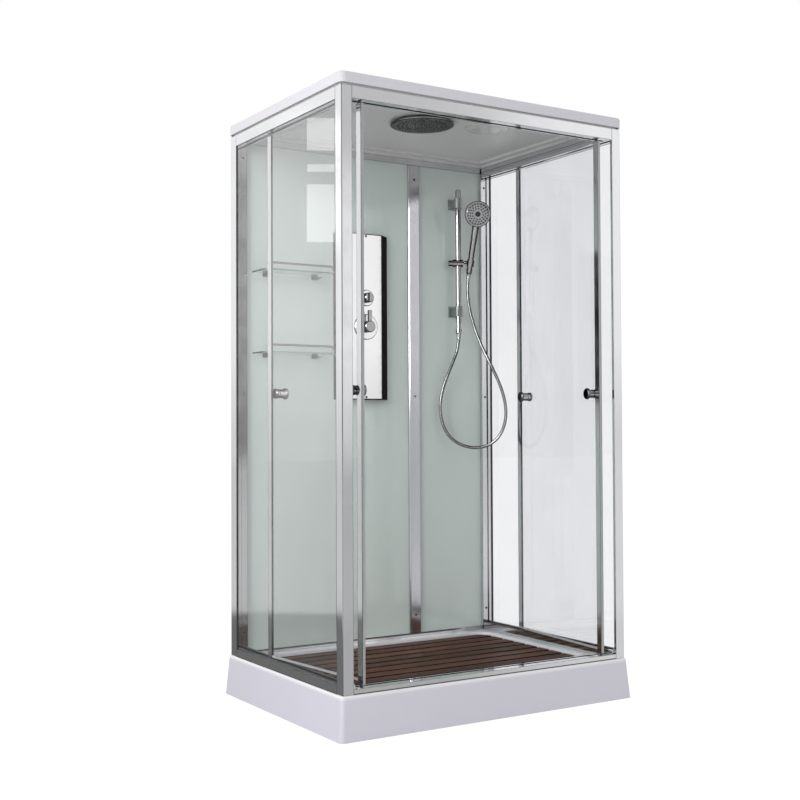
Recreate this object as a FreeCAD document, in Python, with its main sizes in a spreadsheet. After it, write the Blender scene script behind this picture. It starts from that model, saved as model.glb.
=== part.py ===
import FreeCAD, Part
import math
import os
import re
import Sketcher

# Shower cabin with a wooden deck, two swing-slide doors, a mixer column and a hand shower.
# Millimetres, Z up, front towards -Y, the origin in the middle of the tray's underside.

doc = FreeCAD.newDocument("shower_cabin")
sizes = doc.addObject("Spreadsheet::Sheet", "Sizes")

# Each row: name, number or formula, what it measures.
SIZES = [
    ("fit_gap", 0.3, "play between a piece and the slot that holds it"),
    ("bevel", 3, "small bevels on turned pieces"),
    ("frame_width", 1192, "posts and rails, left to right"),
    ("frame_depth", 860, "posts and rails, front to back"),
    ("roof_top", 2150, "height of the roof above the floor"),
    ("fascia_height", 37, "height of the roof's rim"),
    ("roof_wall", 5, "thickness of the roof's rim"),
    ("roof_skin", 4, "thickness of the roof's top"),
    ("roof_corner", 22, "radius of the roof's upright corners"),
    ("roof_edge", 8, "radius of the roof's top edge"),
    ("roof_overhang", 6, "roof beyond the frame, each side"),
    ("tray_ledge", 7, "tray rim beyond the frame, each side"),
    ("tray_height", 145, "tray rim above the floor"),
    ("tray_lean", 11, "how far the skirt leans in up to the rim"),
    ("tray_corner", 14, "radius of the skirt's upright corners"),
    ("tray_edge", 6, "radius of the rim's outer edge"),
    ("tray_wall", 9, "skirt thickness at the rim"),
    ("tray_floor", 8, "thickness of the rim, the recess walls and floor"),
    ("recess_side", 100, "recess inside the tray's foot, left and right"),
    ("recess_front", 104, "recess inside the tray's foot, front and back"),
    ("recess_drop", 45, "recess floor below the rim"),
    ("recess_corner", 60, "radius of the recess corners"),
    ("waste_y", 150, "waste behind the middle of the tray"),
    ("waste_radius", 44, "waste neck"),
    ("waste_flange", 55, "radius of the waste flange"),
    ("waste_lip", 3, "thickness of the waste flange"),
    ("waste_cup", 38, "depth of the waste's cup"),
    ("waste_slope", 8, "slope from the cup to the outlet"),
    ("cover_height", 7, "waste cover"),
    ("outlet_radius", 20, "outlet pipe under the waste"),
    ("outlet_wall", 3, "wall of the outlet pipe"),
    ("outlet_low", 12, "outlet pipe's end above the floor"),
    ("foot_radius", 30, "foot pad"),
    ("foot_pad", 12, "thickness of a foot pad"),
    ("foot_stem", 7, "radius of a foot's threaded stem"),
    ("foot_inset", 68, "feet inside the recess outline"),
    ("deck_play", 10, "deck inside the recess, all round"),
    ("slat_width", 60, "deck slat"),
    ("slat_thick", 16, "deck slat"),
    ("slat_gap", 15, "between two deck slats"),
    ("slat_edge", 2, "radius of a slat's long top edges"),
    ("batten_width", 40, "batten under the slats"),
    ("batten_height", 20, "batten under the slats"),
    ("batten_inset", 82, "outer battens from the slats' ends"),
    ("batten_count", 4, "battens"),
    ("roof_lift", 6, "roof's rim above the top rails"),
    ("post_face", 40, "width of a front post's faces"),
    ("post_wall", 10, "thickness of a front post's arms"),
    ("post_edge", 3, "radius of a post's outer corner"),
    ("back_arm_face", 51, "width of a back post's arm on the back wall"),
    ("back_arm_thick", 45, "thickness of that arm and of the back rails"),
    ("side_arm_face", 50, "width of a back post's arm on the side"),
    ("side_arm_thick", 24, "thickness of that arm"),
    ("groove_depth", 6, "pane groove in the posts"),
    ("slot_depth", 10, "pane and panel slots in the rails"),
    ("top_rail_height", 42, "front and side top rails"),
    ("back_rail_height", 25, "back top rail"),
    ("base_rail_height", 30, "side bottom rails"),
    ("back_base_height", 15, "back bottom rail"),
    ("sill_height", 18, "front bottom rail"),
    ("side_rail_depth", 52, "side rails, inwards"),
    ("front_rail_depth", 50, "front rail and sill, inwards"),
    ("flute_low", 15, "bottom of the flute along a side rail's inner face"),
    ("flute_high", 23, "top of that flute"),
    ("flute_depth", 2, "depth of that flute"),
    ("pane_thick", 5, "fixed side pane"),
    ("pane_inset", 2.5, "side pane slot from the outer face"),
    ("panel_thick", 6, "back wall panel"),
    ("panel_inset", 24, "back wall panel from the outer face"),
    ("panel_bite", 8, "back wall panel inside the back posts"),
    ("joint_gap", 99, "joint profile right of the column"),
    ("joint_face", 54, "width of the joint profile's front"),
    ("joint_proud", 12, "joint profile in front of the panels"),
    ("joint_web", 6, "web between the two panels"),
    ("joint_back", 36, "width of the joint profile's back flange"),
    ("joint_edge", 4, "bevel of the joint profile's front edges"),
    ("screw_radius", 4.5, "screw head"),
    ("screw_height", 2.8, "screw head"),
    ("screw_inset", 16, "corner post screws from the arm's edge"),
    ("screw_end", 58, "outer rows of frame screws from the back rails"),
    ("ceiling_play", 4, "ceiling inside the frame's outer face"),
    ("ceiling_rim", 44, "width of the ceiling's rim on the rails"),
    ("ceiling_step", 12, "first step of the moulded ceiling"),
    ("ceiling_cove", 26, "width of the ceiling's second step"),
    ("ceiling_rise", 9, "height of the ceiling's second step"),
    ("ceiling_skin", 4, "thickness of the ceiling"),
    ("ceiling_round", 7, "radius between ceiling and second step"),
    ("rain_x", -55, "rain head from the middle"),
    ("rain_y", -78, "rain head from the middle"),
    ("rain_radius", 117, "rain head"),
    ("rain_thick", 8, "rain head at its rim"),
    ("rain_drop", 15, "rain head's face below the ceiling"),
    ("rain_hub", 22, "hub on the back of the rain head"),
    ("nipple_radius", 11, "pipe nipple of the rain head"),
    ("nipple_rise", 6, "nipple above the ceiling"),
    ("lamp_x", 195, "ceiling lamp from the middle"),
    ("lamp_y", -137, "ceiling lamp from the middle"),
    ("lamp_radius", 80, "ceiling lamp"),
    ("lamp_height", 11, "ceiling lamp"),
    ("lamp_glass", 58, "radius of the lamp's cover"),
    ("lamp_step", 2, "steps of the lamp's rim"),
    ("shelf_inset", 76, "shelves from the frame's left face"),
    ("shelf_gap", 30, "shelves from the column"),
    ("shelf_reach", 120, "shelf plate, front to back"),
    ("shelf_thick", 6, "shelf plate"),
    ("shelf_corner", 40, "radius of a shelf's front corners"),
    ("shelf_wall_gap", 5, "shelf plate to the wall"),
    ("shelf_drop", 515, "upper shelf's underside below the frame's top"),
    ("shelf_rise", 310, "upper shelf above the lower one"),
    ("gallery_radius", 4, "gallery rail"),
    ("gallery_rise", 26, "gallery rail above the plate"),
    ("gallery_inset", 30, "gallery rail behind the plate's front edge"),
    ("gallery_end", 22, "gallery rail's feet from the shelf's ends"),
    ("gallery_bend", 12, "bend radius of the gallery rail"),
    ("bracket_end", 57, "brackets from the shelf's ends"),
    ("bracket_width", 22, "shelf bracket"),
    ("bracket_reach", 52, "shelf bracket, from the wall"),
    ("bracket_height", 12, "shelf bracket"),
    ("column_x", -40, "middle of the shower column"),
    ("column_base", 244, "column width at the wall"),
    ("column_front", 150, "column width in front"),
    ("column_depth", 36, "column from the wall"),
    ("column_height", 664, "column"),
    ("column_drop", 331, "top of the column below the frame's top"),
    ("plate_margin", 3, "front plate inside the column's front, each side"),
    ("plate_thick", 3, "front plate of the column"),
    ("plate_screw", 7, "column screws from the plate's ends"),
    ("mixer_rise", 290, "mixer axis above the column's bottom"),
    ("mixer_ring", 51, "radius of the mixer's ring"),
    ("mixer_hub", 23, "radius of the mixer's hub"),
    ("mixer_reach", 36, "mixer hub in front of the ring's back"),
    ("lever_length", 66, "mixer lever from its axis"),
    ("lever_width", 15, "mixer lever"),
    ("lever_thick", 9, "mixer lever"),
    ("diverter_rise", 116, "diverter axis above the mixer axis"),
    ("diverter_ring", 33, "radius of the diverter's ring"),
    ("diverter_hub", 20, "radius of the diverter knob"),
    ("diverter_reach", 30, "diverter knob in front of the ring's back"),
    ("grip_width", 9, "grip bar across the diverter knob"),
    ("grip_rise", 6, "grip bar in front of the diverter knob"),
    ("ring_thick", 6, "valve rings"),
    ("turn_gap", 0.4, "play of a turning knob in its ring"),
    ("inlet_pitch", 150, "between the two inlet tails"),
    ("inlet_radius", 10.5, "inlet tail"),
    ("inlet_reach", 40, "inlet tail behind the column"),
    ("inlet_play", 2.5, "inlet tail in the panel's hole"),
    ("inlet_neck", 0.8, "undercut of the inlet tail inside the panel"),
    ("riser_inset", 194, "riser rail from the frame's right face"),
    ("riser_gap", 50, "riser axis in front of the wall"),
    ("riser_length", 583, "riser with its outlet tip"),
    ("riser_drop", 113, "riser's top below the frame's top"),
    ("riser_radius", 11, "riser tube"),
    ("riser_bore", 6, "riser's water way"),
    ("tip_radius", 8, "outlet tip"),
    ("tip_length", 24, "outlet tip"),
    ("riser_end", 8, "closed top of the riser"),
    ("clamp_radius", 17, "riser bracket round the tube"),
    ("clamp_height", 44, "riser bracket"),
    ("clamp_stem", 24, "riser bracket's stem to the wall"),
    ("clamp_foot", 6, "riser bracket's wall plate"),
    ("clamp_rise", 52, "lower bracket above the outlet tip's end"),
    ("clamp_drop", 78, "upper bracket's underside below the riser's top"),
    ("slider_drop", 308, "slider's middle below the riser's top"),
    ("slider_radius", 16, "slider's round body"),
    ("slider_left", 24, "slider's body left of the riser"),
    ("slider_run", 0.05, "running fit of the slider on the riser"),
    ("lock_radius", 12, "slider's locking knob"),
    ("lock_length", 18, "slider's locking knob"),
    ("handset_turn", 32, "slider turned to the left on the riser"),
    ("socket_reach", 50, "holder's socket from the riser"),
    ("socket_half", 14, "half the socket's height"),
    ("socket_wall", 4, "socket's wall"),
    ("ball_radius", 8, "holder's ball at the slider"),
    ("ball_offset", 23, "ball to socket middle"),
    ("handset_tilt", 12, "hand shower leaning forward"),
    ("handset_lean", 8, "hand shower leaning to the right"),
    ("handle_tail", 22, "handle below the socket's middle"),
    ("handle_low", 10.6, "handle radius at its lower end"),
    ("handle_neck", 12, "handle radius above the socket"),
    ("handle_mid", 13, "handle radius halfway"),
    ("handle_high", 15, "handle radius at the head"),
    ("handle_length", 176, "handle above the socket's middle"),
    ("head_z", 206, "head above the socket's middle"),
    ("head_radius", 54, "hand shower's head"),
    ("head_front", 17, "head in front of the handle's axis"),
    ("head_back", 14, "head behind the handle's axis"),
    ("head_rim", 10, "rim of the head"),
    ("spray_radius", 45, "spray face"),
    ("spray_thick", 3, "spray face"),
    ("hose_radius", 7, "shower hose"),
    ("hose_bore", 4.5, "shower hose, inside"),
    ("hose_lead", 40, "straight end of the hose under the hand shower"),
    ("nut_radius", 12, "hose nuts"),
    ("nut_length", 24, "hose nuts"),
    ("nut_nose", 9, "narrow end of a hose nut"),
    ("side_track_inset", 32, "side track from the frame's outer face"),
    ("front_track_inset", 34, "front track from the frame's outer face"),
    ("guide_radius", 6, "guide studs of the doors"),
    ("guide_play", 0.7, "guide stud in its channel, each side"),
    ("channel_depth", 12, "guide channels"),
    ("guide_bite", 8, "guide studs inside the channels"),
    ("rest_angle", 5.78, "doors parked, off the side walls"),
    ("door_pane", 6, "door pane"),
    ("door_profile", 11, "thickness of the door's end profiles"),
    ("lead_length", 26, "leading profile along the pane"),
    ("lead_over", 15, "leading profile beyond its guide"),
    ("trail_length", 24, "trailing profile along the pane"),
    ("trail_over", 10, "trailing profile beyond its guide"),
    ("profile_bite", 9, "pane inside the door's profiles"),
    ("seal_thick", 2.5, "magnetic seal on the leading profile"),
    ("seal_width", 9, "magnetic seal"),
    ("meeting_gap", 0.5, "each closed door to the middle"),
    ("door_clear", 5, "door profiles clear of the rails"),
    ("drip_height", 8, "drip seal under the pane"),
    ("drip_clear", 3, "drip seal above the side rails"),
    ("knob_z", 1122, "door knobs"),
    ("knob_trail", 56, "trailing knob from its guide"),
    ("knob_lead", 28, "leading knob from its guide"),
    ("knob_radius", 18, "door knob"),
    ("knob_neck", 8, "door knob's neck"),
    ("knob_rim", 9, "rim of a door knob"),
    ("knob_inside", 36, "knob inside the cabin, from the pane's middle"),
    ("knob_outside", 20, "knob outside, from the pane's middle"),
    ("knob_stud", 4, "stud through the pane"),
    ("pin_radius", 4, "corner pin"),
    ("pin_length", 16, "corner pin in its rail"),
    ("pin_head", 7, "radius of the corner pin's head"),
    ("pin_cap", 4, "height of the corner pin's head"),
    ("pin_run", 0.05, "running fit of the corner pin"),
    ("pin_clear", 1, "bore below the corner pin's end"),
    ("frame_x", "=frame_width / 2", "frame's outer face from the middle"),
    ("frame_y", "=frame_depth / 2", "frame's outer face from the middle"),
    ("roof_width", "=frame_width + 2 * roof_overhang", "roof cover, left to right"),
    ("roof_depth", "=frame_depth + 2 * roof_overhang", "roof cover, front to back"),
    ("tray_width", "=frame_width + 2 * (tray_ledge + tray_lean)", "tray at the floor, left to right"),
    ("tray_depth", "=frame_depth + 2 * (tray_ledge + tray_lean)", "tray at the floor, front to back"),
    ("recess_width", "=tray_width - 2 * recess_side", "recess for the deck, left to right"),
    ("recess_depth", "=tray_depth - 2 * recess_front", "recess for the deck, front to back"),
    ("foot_x", "=recess_width / 2 - foot_inset", "feet from the middle, left and right"),
    ("foot_y", "=recess_depth / 2 - foot_inset", "feet from the middle, front and back"),
    ("slat_length", "=recess_width - 2 * deck_play", "deck slat"),
    ("slat_pitch", "=slat_width + slat_gap", "one deck slat to the next"),
    ("slat_count", "=floor((recess_depth - 2 * deck_play + slat_gap) / slat_pitch)", "deck slats"),
    ("deck_depth", "=slat_pitch * slat_count - slat_gap", "deck, front to back"),
    ("deck_corner", "=recess_corner - deck_play", "radius of the deck's outer corners"),
    ("batten_reach", "=slat_length - 2 * batten_inset - batten_width", "first to last batten"),
    ("batten_pitch", "=batten_reach / (batten_count - 1)", "one batten to the next"),
    ("frame_top", "=roof_top - fascia_height - roof_lift", "top of posts and top rails"),
    ("recess_z", "=tray_height - recess_drop", "recess floor"),
    ("hollow_z", "=recess_z - tray_floor", "top of the main hollow"),
    ("wall_y", "=frame_y - panel_inset - panel_thick", "face of the back wall"),
    ("top_low", "=frame_top - top_rail_height", "underside of front and side top rails"),
    ("base_high", "=tray_height + base_rail_height", "top of the side bottom rails"),
    ("back_high", "=tray_height + back_base_height", "top of the back bottom rail"),
    ("sill_high", "=tray_height + sill_height", "top of the sill"),
    ("ceiling_z", "=frame_top + ceiling_step + ceiling_rise", "underside of the ceiling"),
    ("pane_slot", "=pane_thick + 2 * fit_gap", "slot of the side pane"),
    ("channel_half", "=guide_radius + guide_play", "half a guide channel"),
    ("corner_x", "=frame_x - side_track_inset", "side tracks from the middle"),
    ("corner_y", "=frame_y - front_track_inset", "front track from the middle"),
    ("door_span", "=corner_x - lead_over - seal_thick - meeting_gap", "guide to guide"),
    ("park_y", "=door_span * cos(rest_angle) - corner_y", "trailing guide of a parked door"),
    ("lead_low", "=sill_high + door_clear", "foot of the leading profile"),
    ("trail_low", "=base_high + door_clear", "foot of the trailing profile"),
    ("profile_high", "=top_low - door_clear", "top of both profiles"),
    ("pane_low", "=base_high + drip_clear + drip_height", "lower edge of a door pane"),
    ("column_high", "=frame_top - column_drop", "top of the column"),
    ("column_low", "=column_high - column_height", "bottom of the column"),
    ("mixer_z", "=column_low + mixer_rise", "mixer axis"),
    ("diverter_z", "=mixer_z + diverter_rise", "diverter axis"),
    ("column_side", "=column_x + column_base / 2", "column's right side"),
    ("joint_x", "=column_side + joint_gap + joint_face / 2", "joint profile's middle"),
    ("shelf_low_x", "=shelf_inset - frame_x", "left end of the shelves"),
    ("shelf_length", "=column_x - column_base / 2 - shelf_gap - shelf_low_x", "shelf plate"),
    ("shelf_x", "=shelf_low_x + shelf_length / 2", "middle of the shelves"),
    ("shelf_upper", "=frame_top - shelf_drop", "upper shelf's underside"),
    ("shelf_lower", "=shelf_upper - shelf_rise", "lower shelf's underside"),
    ("gallery_span", "=shelf_length - 2 * gallery_end", "between the gallery rail's feet"),
    ("bracket_span", "=shelf_length - 2 * bracket_end", "between the two brackets of a shelf"),
    ("screw_x", "=frame_x - back_arm_face + screw_inset", "corner post screws from the middle"),
    ("screw_low", "=base_high + screw_end", "lowest row of frame screws"),
    ("screw_high", "=frame_top - back_rail_height - screw_end", "top row of frame screws"),
    ("screw_mid", "=(screw_low + screw_high) / 2", "middle row of frame screws"),
    ("riser_x", "=frame_x - riser_inset", "riser axis"),
    ("riser_y", "=wall_y - riser_gap", "riser axis"),
    ("riser_high", "=frame_top - riser_drop", "riser's top"),
    ("riser_low", "=riser_high - riser_length", "riser's outlet tip"),
    ("clamp_low", "=riser_low + clamp_rise", "lower bracket's underside"),
    ("clamp_high", "=riser_high - clamp_drop", "upper bracket's underside"),
    ("slider_z", "=riser_high - slider_drop", "slider's middle"),
]

WORD = re.compile(r"[a-z][a-z0-9_]*")
FUNCTIONS = ("cos", "sin", "tan", "atan", "floor")

# The pieces that each door has on the left and on the right.
DOOR_PIECES = ("door_pane", "door_lead", "door_trail", "door_seals", "door_knobs", "door_guides",
               "corner_pin")

# The hose's corners between its two nuts, in the room: it hangs in one loop that swings forward.
HOSE_CORNERS = [
    (400, 350, 1330),
    (370, 354, 1262),
    (336, 364, 1180),
    (319, 371, 1104),
    (324, 373, 1040),
    (346, 366, 976),
    (386, 339, 930),
    (440, 300, 912),
    (490, 262, 923),
    (524, 228, 963),
    (537, 205, 1030),
    (529, 198, 1102),
    (505, 204, 1178),
    (470, 222, 1262),
    (452, 270, 1350),
    (442, 310, 1446),
    (440, 335, 1524),
]

nodes = {}


def fill_sheet():
    """Write every size into the sheet under its name."""
    for row, (alias, number, note) in enumerate(SIZES, start=1):
        sizes.set("A%d" % row, note)
        sizes.set("B%d" % row, str(number))
        sizes.setAlias("B%d" % row, alias)
    doc.recompute()


def bound(text):
    """Turn a formula of size names into an expression on the sheet."""
    def named(hit):
        word = hit.group(0)
        return word if word in FUNCTIONS else "Sizes." + word
    return WORD.sub(named, text)


def value(text):
    """Read a formula of size names as a number."""
    return float(sizes.evalExpression(bound(text)))


def keep(thing, label):
    """Name a finished sub-part and remember it for export."""
    thing.Label = label
    nodes[label] = thing
    return thing


def new_body(name):
    body = doc.addObject("PartDesign::Body", name)
    body.AllowCompound = True
    return body


def place(thing, x="0", y="0", z="0", turn=None):
    """Bind a piece's place to the sheet; the turn is a finished rotation."""
    spot = FreeCAD.Vector(value(x), value(y), value(z))
    thing.Placement = FreeCAD.Placement(spot, turn or FreeCAD.Rotation())
    for axis, text in (("x", x), ("y", y), ("z", z)):
        thing.setExpression("Placement.Base." + axis, bound(text))
    return thing


def turned(axis, degrees):
    return FreeCAD.Rotation(FreeCAD.Vector(*axis), degrees)


def origin_plane(body, role):
    return next(item for item in body.Origin.OriginFeatures if item.Role == role)


def new_sketch(body, name, role, lift, rise):
    sketch = body.newObject("Sketcher::SketchObject", name)
    sketch.AttachmentSupport = [(origin_plane(body, role), "")]
    sketch.MapMode = "FlatFace"
    sketch.setExpression("AttachmentOffset.Base.z", bound(lift))
    sketch.setExpression("AttachmentOffset.Base.y", bound(rise))
    return sketch


def pin_point(sketch, curve, spot, kind, text):
    """Hold one coordinate of a sketch point on an axis or at a named distance."""
    if text == "0":
        axis = -2 if kind == "DistanceX" else -1
        sketch.addConstraint(Sketcher.Constraint("PointOnObject", curve, spot, axis))
        return
    index = sketch.addConstraint(Sketcher.Constraint(kind, -1, 1, curve, spot, value(text)))
    sketch.setExpression("Constraints[%d]" % index, bound(text))


def draw_loop(sketch, corners):
    """Closed loop of straight lines whose corners are bound to the sheet."""
    first = sketch.GeometryCount
    spots = [FreeCAD.Vector(value(x), value(y), 0) for x, y in corners]
    count = len(spots)
    for index in range(count):
        sketch.addGeometry(Part.LineSegment(spots[index], spots[(index + 1) % count]), False)
    for index in range(count):
        follower = first + (index + 1) % count
        sketch.addConstraint(Sketcher.Constraint("Coincident", first + index, 2, follower, 1))
    for index, (x, y) in enumerate(corners):
        pin_point(sketch, first + index, 1, "DistanceX", x)
        pin_point(sketch, first + index, 1, "DistanceY", y)


def outline(body, name, role, corners, lift="0", rise="0", island=None):
    """Sketch of one outline, with an island left standing inside it where one is given."""
    sketch = new_sketch(body, name, role, lift, rise)
    draw_loop(sketch, corners)
    if island:
        draw_loop(sketch, island)
    return sketch


def oblong(x_low, y_low, x_high, y_high):
    """Corners of a rectangle."""
    return [(x_low, y_low), (x_high, y_low), (x_high, y_high), (x_low, y_high)]


def rounds(body, name, role, circles, lift="0"):
    """Sketch of circles, each an x, a y and a radius bound to the sheet."""
    sketch = new_sketch(body, name, role, lift, "0")
    for index, (x, y, radius) in enumerate(circles):
        middle = FreeCAD.Vector(value(x), value(y), 0)
        sketch.addGeometry(Part.Circle(middle, FreeCAD.Vector(0, 0, 1), value(radius)), False)
        pin_point(sketch, index, 3, "DistanceX", x)
        pin_point(sketch, index, 3, "DistanceY", y)
        size = sketch.addConstraint(Sketcher.Constraint("Radius", index, value(radius)))
        sketch.setExpression("Constraints[%d]" % size, bound(radius))
    return sketch


def grow(body, kind, sketch, length, reverse=False):
    """Pad or pocket a sketch."""
    feature = body.newObject("PartDesign::" + kind, sketch.Name + kind)
    feature.Profile = sketch
    feature.setExpression("Length", bound(length))
    feature.Reversed = reverse
    return feature


def pad(body, sketch, length, reverse=False):
    return grow(body, "Pad", sketch, length, reverse)


def pocket(body, sketch, length, reverse=False):
    return grow(body, "Pocket", sketch, length, reverse)


def revolve(body, sketch, axis="V_Axis"):
    feature = body.newObject("PartDesign::Revolution", sketch.Name + "Turn")
    feature.Profile = sketch
    feature.ReferenceAxis = (sketch, [axis])
    feature.Angle = 360.0
    return feature


def pattern(body, feature, sketch, axis, pitch, count):
    """Repeat a feature along one axis of its sketch."""
    row = body.newObject("PartDesign::LinearPattern", feature.Name + "Row")
    row.Originals = [feature]
    row.Direction = (sketch, [axis])
    row.setExpression("Length", bound("%s * (%s - 1)" % (pitch, count)))
    row.setExpression("Occurrences", bound(count))
    body.Tip = row
    return row


def soften(body, kind, size, wanted):
    """Round or bevel the edges of a body that a test on their boxes picks."""
    doc.recompute()
    tip = body.Tip
    names = ["Edge%d" % (i + 1) for i, edge in enumerate(tip.Shape.Edges) if wanted(edge.BoundBox)]
    feature = body.newObject("PartDesign::" + kind, tip.Name + kind)
    feature.Base = (tip, names)
    feature.setExpression("Radius" if kind == "Fillet" else "Size", bound(size))
    return feature


def near(first, second):
    return abs(first - second) < 0.01


def spun(name, points):
    """Body turned about its own Z axis from an outline of radii and heights."""
    body = new_body(name)
    revolve(body, outline(body, name + "Half", "XZ_Plane", points))
    return body


def copies(label, source, places):
    """One node of separate solids: links to a source piece, each at its own place."""
    links = []
    for index, (x, y, z, turn) in enumerate(places):
        link = doc.addObject("App::Link", "%s_%d" % (label, index + 1))
        link.LinkedObject = source
        links.append(place(link, x, y, z, turn))
    return group(label, links)


def group(label, members):
    bundle = doc.addObject("Part::Compound", label)
    bundle.Links = members
    return keep(bundle, label)


def mirrored(label, source):
    """The right-hand twin of a left-hand piece."""
    twin = doc.addObject("Part::Mirroring", label)
    twin.Source = source
    twin.Normal = FreeCAD.Vector(1, 0, 0)
    return keep(twin, label)


def make_tray():
    body = new_body("tray")
    foot = outline(body, "TrayFoot", "XY_Plane", oblong("0", "0", "tray_width", "tray_depth"))
    skirt = pad(body, foot, "tray_height")
    skirt.setExpression("TaperAngle", bound("-atan(tray_lean / tray_height)"))
    soften(body, "Fillet", "tray_corner", lambda box: box.ZLength > value("tray_height / 2"))
    soften(body, "Fillet", "tray_edge", lambda box: near(box.ZMin, value("tray_height")))
    recess = tray_oblong("recess_width", "recess_depth", "0")
    pocket(body, outline(body, "TrayRecess", "XY_Plane", recess, "tray_height"), "recess_drop")
    soften(body, "Fillet", "recess_corner", lambda box: near(box.ZLength, value("recess_drop")))
    behind = tray_oblong("tray_width", "tray_depth", "-tray_wall - tray_lean")
    island = tray_oblong("recess_width", "recess_depth", "tray_floor")
    ring = outline(body, "SkirtHollow", "XY_Plane", behind, island=island)
    pocket(body, ring, "tray_height - tray_floor", True)
    pocket(body, outline(body, "MainHollow", "XY_Plane", recess), "hollow_z", True)
    drain = [("tray_width / 2", "tray_depth / 2 + waste_y", "waste_radius + fit_gap")]
    pocket(body, rounds(body, "WasteHole", "XY_Plane", drain, "recess_z"), "tray_floor * 2")
    place(body, "-tray_width / 2", "-tray_depth / 2")
    keep(body, "tray")


def tray_oblong(width, depth, margin):
    """Corners of a rectangle centred on the tray, widened all round by the margin."""
    low = [("(%s - %s) / 2 - (%s)" % (whole, size, margin))
           for whole, size in (("tray_width", width), ("tray_depth", depth))]
    high = [("(%s + %s) / 2 + (%s)" % (whole, size, margin))
            for whole, size in (("tray_width", width), ("tray_depth", depth))]
    return oblong(*low, *high)


def make_tray_fittings():
    foot = spun("foot", [("0", "0"), ("foot_radius", "0"), ("foot_radius", "foot_pad / 2"),
                         ("foot_stem * 2", "foot_pad"), ("foot_stem", "foot_pad * 1.5"),
                         ("foot_stem", "hollow_z"), ("0", "hollow_z")])
    spots = [(x, y, "0", None) for x in ("-foot_x", "0", "foot_x") for y in ("-foot_y", "foot_y")]
    copies("tray_feet", foot, spots)
    rim = "recess_z - outlet_low"
    bore = "outlet_radius - outlet_wall"
    inside = "waste_radius - outlet_wall"
    cup = rim + " - waste_cup"
    waste = spun("waste", [
        (bore, "0"), ("outlet_radius", "0"), ("outlet_radius", cup + " - waste_slope"), ("waste_radius", cup),
        ("waste_radius", rim), ("waste_flange", rim), ("waste_flange", rim + " + waste_lip"),
        (inside, rim + " + waste_lip"), (inside, cup + " + outlet_wall"),
        (bore, cup + " + outlet_wall - waste_slope")])
    place(waste, "0", "waste_y", "outlet_low")
    keep(waste, "waste")
    edge = "waste_flange - bevel"
    cover = spun("waste_cover", [("0", "0"), (edge, "0"), (edge, "cover_height * 0.3"),
                                 ("waste_flange * 0.6", "cover_height * 0.85"), ("0", "cover_height")])
    place(cover, "0", "waste_y", "recess_z + waste_lip")
    keep(cover, "waste_cover")


def at_deck_corner(box):
    """Whether an upright edge of a slat stands at an outer corner of the deck."""
    at_end = near(box.XMin, 0) or near(box.XMin, value("slat_length"))
    at_side = near(box.YMin, 0) or near(box.YMin, value("deck_depth"))
    return near(box.ZLength, value("slat_thick")) and at_end and at_side


def make_deck():
    slats = new_body("deck_slats")
    sketch = outline(slats, "Slat", "XY_Plane", oblong("0", "0", "slat_length", "slat_width"))
    board = pad(slats, sketch, "slat_thick")
    pattern(slats, board, sketch, "V_Axis", "slat_pitch", "slat_count")
    soften(slats, "Fillet", "deck_corner", at_deck_corner)
    soften(slats, "Fillet", "slat_edge",
           lambda box: near(box.ZMin, value("slat_thick")) and box.XLength > value("slat_length / 2"))
    place(slats, "-slat_length / 2", "-deck_depth / 2", "recess_z + batten_height")
    keep(slats, "deck_slats")
    battens = new_body("deck_battens")
    sketch = outline(battens, "Batten", "XY_Plane", oblong("0", "0", "batten_width", "deck_depth"))
    bar = pad(battens, sketch, "batten_height")
    pattern(battens, bar, sketch, "H_Axis", "batten_pitch", "batten_count")
    place(battens, "batten_inset - slat_length / 2", "-deck_depth / 2", "recess_z")
    keep(battens, "deck_battens")


def make_posts():
    front = new_body("post_front_left")
    corners = [("0", "0"), ("post_face", "0"), ("post_face", "post_wall"), ("post_wall", "post_wall"),
               ("post_wall", "post_face"), ("pane_inset + pane_slot", "post_face"),
               ("pane_inset + pane_slot", "post_face - groove_depth"),
               ("pane_inset", "post_face - groove_depth"), ("pane_inset", "post_face"), ("0", "post_face")]
    pad(front, outline(front, "FrontPost", "XY_Plane", corners), "frame_top - tray_height")
    soften(front, "Fillet", "post_edge", lambda box: near(box.XMax, 0) and near(box.YMax, 0))
    place(front, "-frame_x", "-frame_y", "tray_height")
    mirrored("post_front_right", keep(front, "post_front_left"))
    back = new_body("post_back_left")
    low = "side_arm_face - back_arm_thick"
    panel = "side_arm_face - panel_inset"
    corners = [("0", "0"), ("pane_inset", "0"), ("pane_inset", "groove_depth"),
               ("pane_inset + pane_slot", "groove_depth"), ("pane_inset + pane_slot", "0"),
               ("side_arm_thick", "0"), ("side_arm_thick", low), ("back_arm_face", low),
               ("back_arm_face", panel + " - panel_thick - fit_gap"),
               ("back_arm_face - panel_bite", panel + " - panel_thick - fit_gap"),
               ("back_arm_face - panel_bite", panel + " + fit_gap"),
               ("back_arm_face", panel + " + fit_gap"),
               ("back_arm_face", "side_arm_face"), ("0", "side_arm_face")]
    pad(back, outline(back, "BackPost", "XY_Plane", corners), "frame_top - tray_height")
    soften(back, "Fillet", "post_edge",
           lambda box: near(box.XMax, 0) and near(box.YMin, value("side_arm_face")))
    place(back, "-frame_x", "frame_y - side_arm_face", "tray_height")
    mirrored("post_back_right", keep(back, "post_back_left"))


def channel_corners(middle, depth):
    """Guide channel cut up into a rail's underside."""
    left = middle + " - channel_half"
    right = middle + " + channel_half"
    return [(left, "0"), (left, depth), (right, depth), (right, "0")]


def flipped(corners, height):
    """The same rail section upside down: its slots open at the top."""
    return [(x, height if z == "0" else "%s - (%s)" % (height, z)) for x, z in reversed(corners)]


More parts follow.
